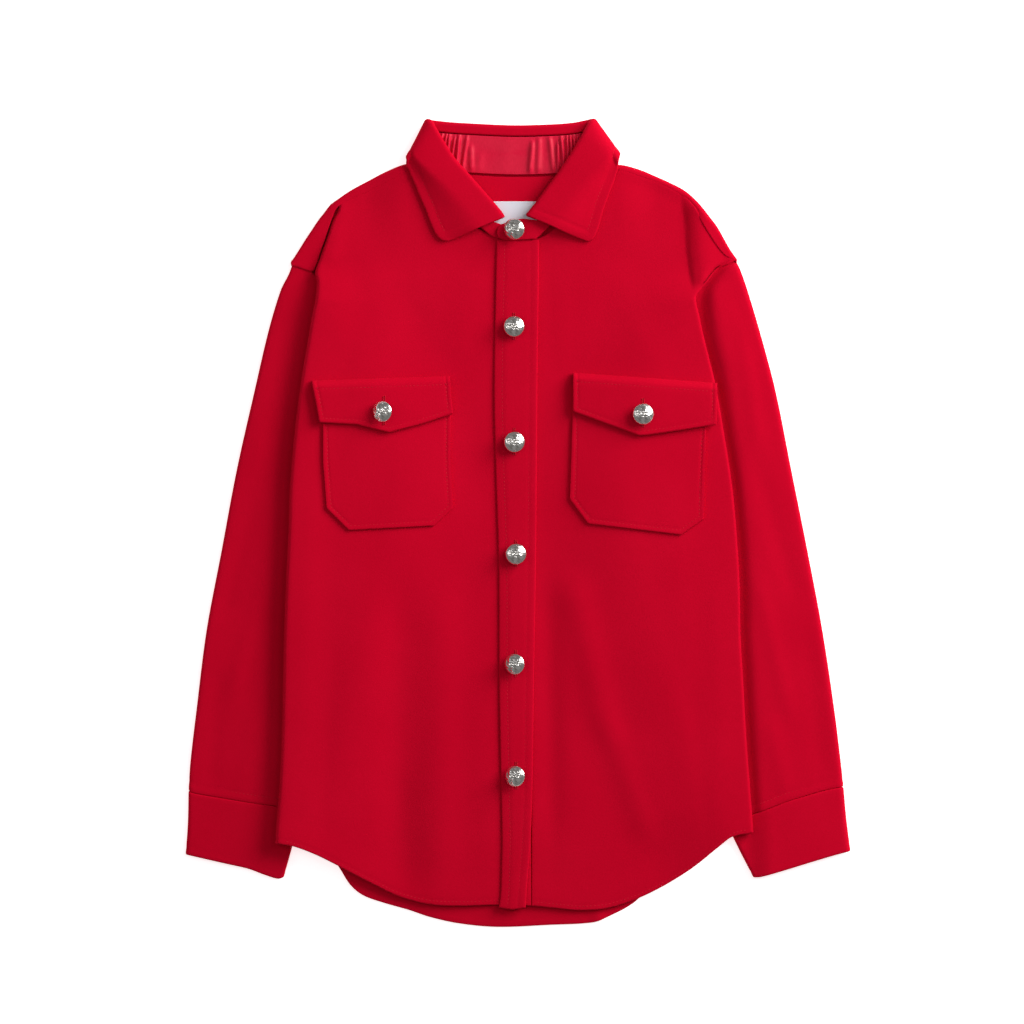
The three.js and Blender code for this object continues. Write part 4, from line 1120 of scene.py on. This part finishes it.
class Stations:
    """Collar stations at places between the table's rows. Each has the middle of its roll, its
    direction outwards under or over the neck, and the direction from the stand to the leaf, which
    turns from up, over the neck side, to down."""

    def __init__(self, places):
        for name, at in collar_column.items():
            setattr(self, name, at(places)[:, None])
        length = np.hypot(self.dx, self.dy)
        zero = np.zeros_like(length)
        along = np.stack([self.dx / length, self.dy / length, zero], -1)
        hand = np.where(self.dx < 0, 1, -1)
        angle = np.radians(self.turn)
        across = np.stack([hand * along[..., 1] * np.sin(angle), -hand * along[..., 0] * np.sin(angle),
                           np.cos(angle)], -1)
        self.radius = ROLL + COLLAR_CLOTH / 2
        centre = np.stack([self.x, self.y, self.z], -1) + along * self.radius
        self.at = lambda a, b: centre + along * a[..., None] + across * b[..., None]


def leaf_level(s, reach, a, share):
    """Height of a collar leaf over the middle of its roll at a distance a from it, and at this share
    of its reach: level near the roll, then down to the front that it lies on, with a slight bulge."""
    end = s.at(reach, 0 * reach)
    lying = front_top(end[..., 0], end[..., 1]) + LAY + COLLAR_CLOTH / 2 - s.z
    edge = mix(lying, ROLL, step(s.turn / 36))
    down = step((a - s.stand + s.radius + 2) / (reach - s.stand + s.radius - 2))
    return mix(ROLL, edge, down) + 0.7 * np.sin(np.pi * np.clip(share, 0, 1)) * (1 - step(s.turn / 60))


def collar(wool):
    """The outer collar: rows are stations, columns run from the leaf's edge to the roll, over it in a
    half turn, and a little way inside. Its two points are rounded."""
    last = len(COLLAR["x"]) - 1
    near = np.array([0, 0.012, 0.045, 0.1, 0.17, 0.27, 0.38, 0.5, 0.62, 0.75, 0.87])
    places = np.concatenate([near, np.linspace(1, last - 1, 175), last - near[::-1]])
    s = Stations(places)
    corner = s.at(s.leaf - s.radius, 0 * s.leaf)[:, 0]
    gaps = np.linalg.norm(np.diff(corner, axis=0), axis=1)
    along = np.concatenate([[0], np.cumsum(gaps)])
    from_end = np.minimum(along, along[-1] - along)[:, None]
    short = LEAF_CORNER - np.sqrt(LEAF_CORNER**2 - np.clip(LEAF_CORNER - from_end, 0, LEAF_CORNER) ** 2)
    reach = s.leaf - s.radius - short * 0.9
    shares = spread(60, 1.9, COLLAR_CLOTH)[None, ::-1][:, :-4] / 60
    a = shares * reach
    level = leaf_level(s, reach, a, shares)
    turn = np.radians(np.linspace(78, -90, 13))[None]
    inside_a = np.array([[0.8, 1.8, 3, 4.2, 5.4, 6.2, 6.7, 6.93, ROLL_END]])
    ones = np.ones_like(s.x)
    a = np.concatenate([a, -ROLL * np.cos(turn) * ones, inside_a * ones], 1)
    b = np.concatenate([level, ROLL * np.sin(turn) * ones, -ROLL * ones * np.ones_like(inside_a)], 1)
    middle = s.at(a, b)
    level_row = np.zeros((len(places), 2))
    front_lines = [s.at(level_row + [0, reach[k, 0]], level_row)[k, :, :2] for k in (0, -1)]
    from_front = np.minimum(*[distance_to(f, middle[..., 0], middle[..., 1]) for f in front_lines])
    from_front = np.where(s.turn < 40, from_front, 99)
    off = np.minimum(np.maximum(reach - a, 0), from_front)
    pull = pulled(off, INSET["collar"]) * (a > -1)
    piece = shell("wool_collar", middle, COLLAR_CLOTH, pull)
    for k in (0, 1):
        leaf = Stations(np.linspace(0.0, 9.0, 120) if k == 0 else np.linspace(last, last - 9.0, 120))
        leaf_reach = leaf.leaf - leaf.radius
        a_row = leaf_reach - INSET["collar"]
        height = leaf_level(leaf, leaf_reach, a_row, a_row / leaf_reach)
        path = leaf.at(a_row, height + COLLAR_CLOTH / 2 - PULL["depth"] / 2)[:, 0]
        front_line = front_lines[0 if k == 0 else 1]
        keep = distance_to(front_line, path[:, 0], path[:, 1]) > INSET["collar"] - 0.5
        sew(path[keep])
    return stand_for(piece, "collar", wool)


def collar_stand(wool):
    """The stand: rows go from its right front end, through the stations, to its rounded tab."""
    t = (spread(24, 1.6, CLOTH) / 24)[None]

    def end_rows(rows, count):
        k = np.linspace(0, len(rows["z"]) - 1, count)
        r = {name: through(np.arange(len(rows[name])), rows[name])(k)[:, None] for name in rows}
        x, y = mix(r["top_x"], r["foot_x"], t), mix(r["top_y"], r["foot_y"], t)
        return np.stack([x, y, np.broadcast_to(r["z"], x.shape)], -1)

    last = len(COLLAR["x"]) - 1
    s = Stations(np.linspace(0, last, 190))
    start, end = ROLL_END + 3 * SEAM, s.stand - s.radius
    foot_at = s.at(end, 0 * end)
    x, y = foot_at[..., 0], foot_at[..., 1]
    on_front = s.z - (front_top(x, y) + LAY + CLOTH / 2)
    on_back = lift(x, y) + CLOTH / 2 - s.z
    flat = np.where(s.turn < 90, on_front, on_back)
    foot = mix(flat, STAND_LEVEL, np.sqrt(np.maximum(np.sin(np.radians(s.turn)), 0)))
    band = s.at(mix(start, end, t), -mix(STAND_LEVEL, foot, step(t)))
    middle = np.concatenate([end_rows(STAND_END["right"], 14), band, end_rows(STAND_END["left"], 22)])
    return stand_for(shell("wool_collar_stand", middle, CLOTH), "collar_stand", wool)


def lining(satin):
    """Satin inside the back of the neck: rows are places along it, columns run from the roll down to
    the neck seam. It is gathered in the pleats of the PLEATS table."""
    box = LINING
    share = (spread(150, 0.62, SATIN) / 150)[:, None]
    t = (spread(38, 1.7, SATIN) / 38)[None]
    s = Stations(mix(box["from"], box["to"], share[:, 0]))
    held = step(np.minimum(t, 1 - t) * 38 / 6)
    wave = sum(
        2.5 * rise * np.exp(-(((share + lean * (t - 0.5) - at) / width) ** 2)) * step((t - start) / 0.3 + 0.5)
        for at, width, rise, lean, start in zip(*PLEATS.values())
    )
    place = mix(box["start"], box["end"], t)
    flat = s.at(place, 0 * place * share)
    stand = mix(STAND_LEVEL, lift(flat[..., 0], flat[..., 1]) + CLOTH / 2 - s.z, step(t))
    level = stand + CLOTH / 2 + LAY + SATIN / 2 + wave * (0.25 + 0.75 * held)
    middle = s.at(place - s.radius, -level)
    for k in (0, 1):
        index = np.abs(t[0] * 38 - (1.8 if k == 0 else 36.2)).argmin()
        path = middle[:, index] + [0, 0, SATIN * 0.45]
        sew(path[6:-6], pitch=2.6, length=1.6, rows=SEWN_LINING)
    return stand_for(shell("neck_lining_satin", middle, SATIN), "neck_lining", satin)


# Buttons

def button(row, under, metal):
    """A cast button: a profile turned once round its axis, its dome raised by a generic rosette of
    petals, a ring of beads and light hammering. It leans on its shank."""
    b = BUTTON
    top = b["shank"] + b["rim"]
    r_face = np.concatenate([np.linspace(0, 0.9, 30), [0.925, 0.95, 0.97, 0.985, 1.0]])[:, None] * b["radius"]
    theta = np.linspace(0, 2 * np.pi, 73)[None, :-1]
    q = r_face / b["radius"]
    dome = top + b["dome"] * np.sqrt(np.clip(1 - q**2, 0, 1)) ** 1.25 * (1 - 0.12 * q)
    petal = np.cos(5 * theta + 0.6 + 2.2 * q) * step((q - 0.14) / 0.2) * step((0.8 - q) / 0.12)
    ring = -step(1 - np.abs(q - 0.84) / 0.05) + 0.4 * np.cos(24 * theta) * step(1 - np.abs(q - 0.92) / 0.06)
    hammer = undulation(r_face * np.cos(theta), r_face * np.sin(theta), 40, 3.4)
    relief = 0.14 * petal + 0.16 * ring + 0.34 * hammer * step((0.9 - q) / 0.2)
    z_face = dome + relief * step((1 - q) / 0.06)
    below = np.array([
        [b["radius"] * 0.985, top - 0.6], [b["radius"] * 0.93, b["shank"] + 0.5],
        [b["radius"] * 0.6, b["shank"] + 0.2],
        [b["shank_radius"], b["shank"]], [b["shank_radius"], 0.2], [b["shank_radius"] * 0.9, 0], [0, 0],
    ])
    r = np.concatenate([r_face * np.ones_like(theta), below[:, :1] * np.ones_like(theta)])
    z = np.concatenate([z_face * np.ones_like(theta), below[:, 1:] * np.ones_like(theta)])
    low = np.concatenate([relief * np.ones_like(theta), np.full((len(below), theta.shape[1]), -0.5)])
    points = np.stack([r * np.cos(theta), r * np.sin(theta), z], -1)
    rx, ry = -row["lean_y"], row["lean_x"]
    turn_x = np.array([[1, 0, 0], [0, np.cos(rx), -np.sin(rx)], [0, np.sin(rx), np.cos(rx)]])
    turn_y = np.array([[np.cos(ry), 0, np.sin(ry)], [0, 1, 0], [-np.sin(ry), 0, np.cos(ry)]])
    sink = b["shank_radius"] * np.hypot(row["lean_x"], row["lean_y"])
    place = [row["x"], row["y"], under(row["x"], row["y"]) + SEAM + sink]
    points = points.reshape(-1, 3) @ (turn_x @ turn_y).T + place
    rows, columns = z.shape
    g = np.arange(rows * columns).reshape(rows, columns)
    g[0], g[-1] = g[0, 0], g[-1, 0]
    g = np.concatenate([g, g[:, :1]], 1)
    q4 = quads(g)
    triangles = np.concatenate([q4[:, [0, 1, 2]], q4[:, [0, 2, 3]]])
    a, c, d = triangles.T
    triangles = triangles[(a != c) & (c != d) & (a != d)]
    used = np.unique(triangles)
    piece = mesh_piece("metal_" + row["name"], points, triangles)
    depth = piece.data.attributes.new("relief", "FLOAT", "POINT")
    depth.data.foreach_set("value", low.reshape(-1)[used].astype(np.float32))
    return stand_for(piece, row["name"], metal)


def buttonhole(row, under):
    """Close stitches across both lips of an upright buttonhole, which shows past its button."""
    up = row["hole"]
    y = np.arange(row["y"] - 12.6, row["y"] + up, 0.85)
    for hand in (-1, 1):
        x = row["x"] + hand * 0.8 + 0 * y
        places = np.stack([x, y, under(x, y) + 0.12], -1)
        directions = np.tile([1.0, 0.12 * hand, 0], (len(y), 1))
        SEWN.append((places, directions, np.tile([0, 0, 1.0], (len(y), 1)), 1.5))


def sewing(name, rows, thread):
    """All the stitches of one thread as one piece."""
    points, faces, count = [], [], 0
    for places, directions, normals, length in rows:
        p, f = stitches(places, directions, normals, length, STITCH["width"], STITCH["height"])
        points.append(p)
        faces.append(f + count)
        count += len(p)
    piece = mesh_piece(name, np.concatenate(points), np.concatenate(faces))
    return stand_for(piece, None, thread)


# Materials

def linear(colour):
    """An sRGB hex colour as linear red, green, blue and alpha."""
    values = np.array([int(colour[k:k + 2], 16) for k in (1, 3, 5)]) / 255
    values = np.where(values > 0.04045, ((values + 0.055) / 1.055) ** 2.4, values / 12.92)
    return (*values, 1.0)


def add(tree, kind, inputs=None, **settings):
    """One node with its settings, and its inputs set to values or joined to other sockets."""
    node = tree.nodes.new(kind)
    for name, value in settings.items():
        setattr(node, name, value)
    for name, value in (inputs or {}).items():
        if isinstance(value, bpy.types.NodeSocket):
            tree.links.new(value, node.inputs[name])
        else:
            node.inputs[name].default_value = value
    return node


def material(name, **sockets):
    """A new material, its node tree and its Principled shader, with constants on the shader's sockets."""
    made = bpy.data.materials.new(name)
    made.use_nodes = True
    shader = made.node_tree.nodes["Principled BSDF"]
    for key, value in sockets.items():
        shader.inputs[key.replace("_", " ")].default_value = value
    return made, made.node_tree, shader


def noise(tree, size, detail=2.0, roughness=0.5, stretch=None):
    """Noise whose grains are about size millimetres across, stretched along some axes if wanted."""
    coordinates = add(tree, "ShaderNodeTexCoord").outputs["Object"]
    if stretch:
        mapping = add(tree, "ShaderNodeMapping", {"Vector": coordinates, "Scale": stretch})
        coordinates = mapping.outputs["Vector"]
    scale = 1 / (size * MM)
    inputs = {"Vector": coordinates, "Scale": scale, "Detail": detail, "Roughness": roughness}
    return add(tree, "ShaderNodeTexNoise", inputs).outputs["Fac"]


def ramp(tree, fac, low, high, dark, light):
    """A colour between two, as a factor goes from low to high."""
    node = add(tree, "ShaderNodeValToRGB", {"Fac": fac})
    for element, place, colour in zip(node.color_ramp.elements, (low, high), (dark, light)):
        element.position = place
        element.color = colour
    return node.outputs["Color"]


def felted_wool():
    """Melton: a heavy twill, fulled and sheared, so that a short dense nap hides the weave. Light
    catches the fibre ends, which pales the cloth at a grazing angle and mottles it softly."""
    made, tree, shader = material(
        "felted_wool_red", Roughness=0.95, Specular_IOR_Level=0.05, Sheen_Weight=0.06,
        Sheen_Roughness=0.45, Sheen_Tint=linear("#F03050"),
    )
    fibres = noise(tree, 0.9, 3.0, 0.6)  # fibre clumps, coarser than a real 0.02 mm fibre so that they show
    mottle = noise(tree, 11, 2.0, 0.55)
    cloud = noise(tree, 90, 1.0)
    base = ramp(tree, fibres, 0.3, 0.72, linear("#B4001E"), linear("#D2042A"))
    patchy = ramp(tree, mottle, 0.25, 0.75, linear("#C20022"), linear("#C80026"))
    broad = ramp(tree, cloud, 0.3, 0.7, linear("#C00022"), linear("#CC0628"))
    first = add(tree, "ShaderNodeMix", {0: 0.5, 6: base, 7: patchy}, data_type="RGBA")
    colour = add(tree, "ShaderNodeMix", {0: 0.3, 6: first.outputs[2], 7: broad}, data_type="RGBA")
    tree.links.new(colour.outputs[2], shader.inputs["Base Color"])
    nap = noise(tree, 2.2, 3.0, 0.65)
    bump = add(tree, "ShaderNodeBump", {"Height": nap, "Strength": 0.35, "Distance": 0.35 * MM})
    fine = add(tree, "ShaderNodeBump", {"Height": fibres, "Strength": 0.6, "Distance": 0.2 * MM,
                                        "Normal": bump.outputs["Normal"]})
    tree.links.new(fine.outputs["Normal"], shader.inputs["Normal"])
    return made


def sewing_thread():
    """Spun polyester thread, twisted and lightly waxed: a soft gloss, in the colour of the cloth."""
    made, tree, shader = material(
        "spun_polyester_thread", Roughness=0.62, Specular_IOR_Level=0.25, Sheen_Weight=0.15,
        Sheen_Roughness=0.4, Sheen_Tint=linear("#F03050"),
    )
    colour = ramp(tree, noise(tree, 1.4), 0.3, 0.7, linear("#BA001F"), linear("#CC0628"))
    tree.links.new(colour, shader.inputs["Base Color"])
    return made


def satin_lining():
    """Viscose satin: long floats of bright filament make a smooth face, glossier along the warp."""
    made, tree, shader = material(
        "viscose_satin_red", Roughness=0.42, Specular_IOR_Level=0.13, Anisotropic=0.4,
        Sheen_Weight=0.04, Sheen_Roughness=0.3, Sheen_Tint=linear("#FF8090"),
    )
    warp = noise(tree, 0.5, 2.0, 0.5, (1.0, 0.12, 1.0))
    colour = ramp(tree, warp, 0.3, 0.7, linear("#CC0E32"), linear("#D8183C"))
    tree.links.new(colour, shader.inputs["Base Color"])
    bump = add(tree, "ShaderNodeBump", {"Height": warp, "Strength": 0.25, "Distance": 0.08 * MM})
    tree.links.new(bump.outputs["Normal"], shader.inputs["Normal"])
    return made


def label_cloth():
    """Woven polyester label: flat, close white threads with a fine cross rib."""
    made, tree, shader = material("woven_label_white", Roughness=0.62, Specular_IOR_Level=0.35)
    coordinates = add(tree, "ShaderNodeTexCoord").outputs["Object"]
    rib = add(tree, "ShaderNodeTexWave", {
        "Vector": coordinates, "Scale": 1 / (3.2 * MM), "Distortion": 0.4,
    }, bands_direction="Y")
    colour = ramp(tree, rib.outputs["Fac"], 0.2, 0.8, linear("#D9DAE6"), linear("#E9EAF2"))
    tree.links.new(colour, shader.inputs["Base Color"])
    bump = add(tree, "ShaderNodeBump", {"Height": rib.outputs["Fac"], "Strength": 0.3, "Distance": 0.1 * MM})
    tree.links.new(bump.outputs["Normal"], shader.inputs["Normal"])
    return made


def cast_metal():
    """Cast white metal, plated, tumbled and lightly darkened: bright on the high places of its relief
    and grey in the low ones."""
    made, tree, shader = material("plated_cast_metal", Metallic=1.0, Roughness=0.17)
    relief = add(tree, "ShaderNodeAttribute", attribute_name="relief").outputs["Fac"]
    height = add(tree, "ShaderNodeMapRange", {"Value": relief, "From Min": -0.45, "From Max": 0.35})
    tone = ramp(tree, height.outputs["Result"], 0.1, 0.75, linear("#B4AEA6"), linear("#FAF7F2"))
    tree.links.new(tone, shader.inputs["Base Color"])
    scratch = noise(tree, 1.6, 3.0, 0.6)
    rough = add(tree, "ShaderNodeMapRange", {"Value": scratch, "To Min": 0.1, "To Max": 0.3})
    tree.links.new(rough.outputs["Result"], shader.inputs["Roughness"])
    bump = add(tree, "ShaderNodeBump", {"Height": scratch, "Strength": 0.25, "Distance": 0.12 * MM})
    tree.links.new(bump.outputs["Normal"], shader.inputs["Normal"])
    return made


# Room

def add_camera():
    """A long lens straight above the garment, framed as the photograph."""
    c = CAMERA
    data = bpy.data.cameras.new("camera")
    data.sensor_width = c["sensor"]
    data.lens = c["sensor"] * c["above"] / c["across"]
    data.clip_end = 100
    camera = bpy.data.objects.new("camera", data)
    camera.location = (c["x"] * MM, c["y"] * MM, (c["garment"] + c["above"]) * MM)
    bpy.context.scene.collection.objects.link(camera)
    bpy.context.scene.camera = camera


def add_softbox(name, place, width, height, power, aim=(0, 0, 0)):
    """A rectangular area light, turned towards a point. Metres."""
    data = bpy.data.lights.new(name, "AREA")
    data.shape = "RECTANGLE"
    data.size, data.size_y, data.energy = width, height, power
    light = bpy.data.objects.new(name, data)
    light.location = place
    away = light.location - type(light.location)(aim)
    light.rotation_euler = away.to_track_quat("Z", "Y").to_euler()
    bpy.context.scene.collection.objects.link(light)


def add_room():
    """A white floor, a pale even surround and softboxes. The main one is broad and stands low at the
    garment's left side, which is the right of the picture, so that folds and edges show."""
    mesh = bpy.data.meshes.new("floor")
    half = 6
    corners = [(-half, -half, 0), (half, -half, 0), (half, half, 0), (-half, half, 0)]
    mesh.from_pydata(corners, [], [(0, 1, 2, 3)])
    floor = bpy.data.objects.new("floor", mesh)
    floor.location.z = -0.4 * MM
    bpy.context.scene.collection.objects.link(floor)
    paper, _, shader = material("white_paper", Roughness=0.9, Specular_IOR_Level=0.1)
    shader.inputs["Base Color"].default_value = (0.9, 0.9, 0.9, 1)
    shader.inputs["Emission Color"].default_value = (1, 1, 1, 1)
    shader.inputs["Emission Strength"].default_value = 0.7
    mesh.materials.append(paper)
    world = bpy.data.worlds.new("surround")
    world.use_nodes = True
    world.node_tree.nodes["Background"].inputs["Color"].default_value = (1, 1, 1, 1)
    world.node_tree.nodes["Background"].inputs["Strength"].default_value = 0.2
    bpy.context.scene.world = world
    add_softbox("key", (2.02, 1.3, 1.23), 1.9, 1.5, 97)
    add_softbox("fill", (-2.1, 0.5, 1.5), 0.6, 0.9, 4)
    for hand in (-1, 1):
        add_softbox("upper", (hand * 0.85, 0.4, 2.3), 0.36, 0.8, 4.6)
    view = bpy.context.scene.view_settings
    view.view_transform, view.look = "Standard", "None"


add_camera()
wool, thread, satin, woven = felted_wool(), sewing_thread(), satin_lining(), label_cloth()
made = {piece.name: piece for piece in [
    back(wool),
    front("wool_front_right", UNDERLAP, side["right_front"], -179.8, wool),
    front("wool_front_left", UNDERLAP + SEAM, side["left"], 216.5, wool),
    placket(wool),
    *arm("right", wool),
    *arm("left", wool),
    *pocket("right", wool),
    *pocket("left", wool),
    collar(wool),
    collar_stand(wool),
    lining(satin),
    label(woven),
]}


def on_placket(x, y):
    return front_top(x, y) + LAY + BAND_CLOTH


def on_flap(x, y):
    return front_top(x, y) + LAY + CLOTH + FLAP_STANDS + FLAP_CLOTH


def on_tab(x, y):
    return STAND_END["left"]["z"][2] + CLOTH / 2 + 0 * x


metal = cast_metal()
for row in BUTTONS:
    carrier = on_tab if row["name"] == "button_1" else on_flap if "pocket" in row["name"] else on_placket
    button(row, carrier, metal)
    if carrier is not on_tab:
        buttonhole(row, carrier)
sewing("topstitching", SEWN, thread)
sewing("lining_stitches", SEWN_LINING, satin)
sewing("label_stitches", SEWN_LABEL, woven)
add_room()
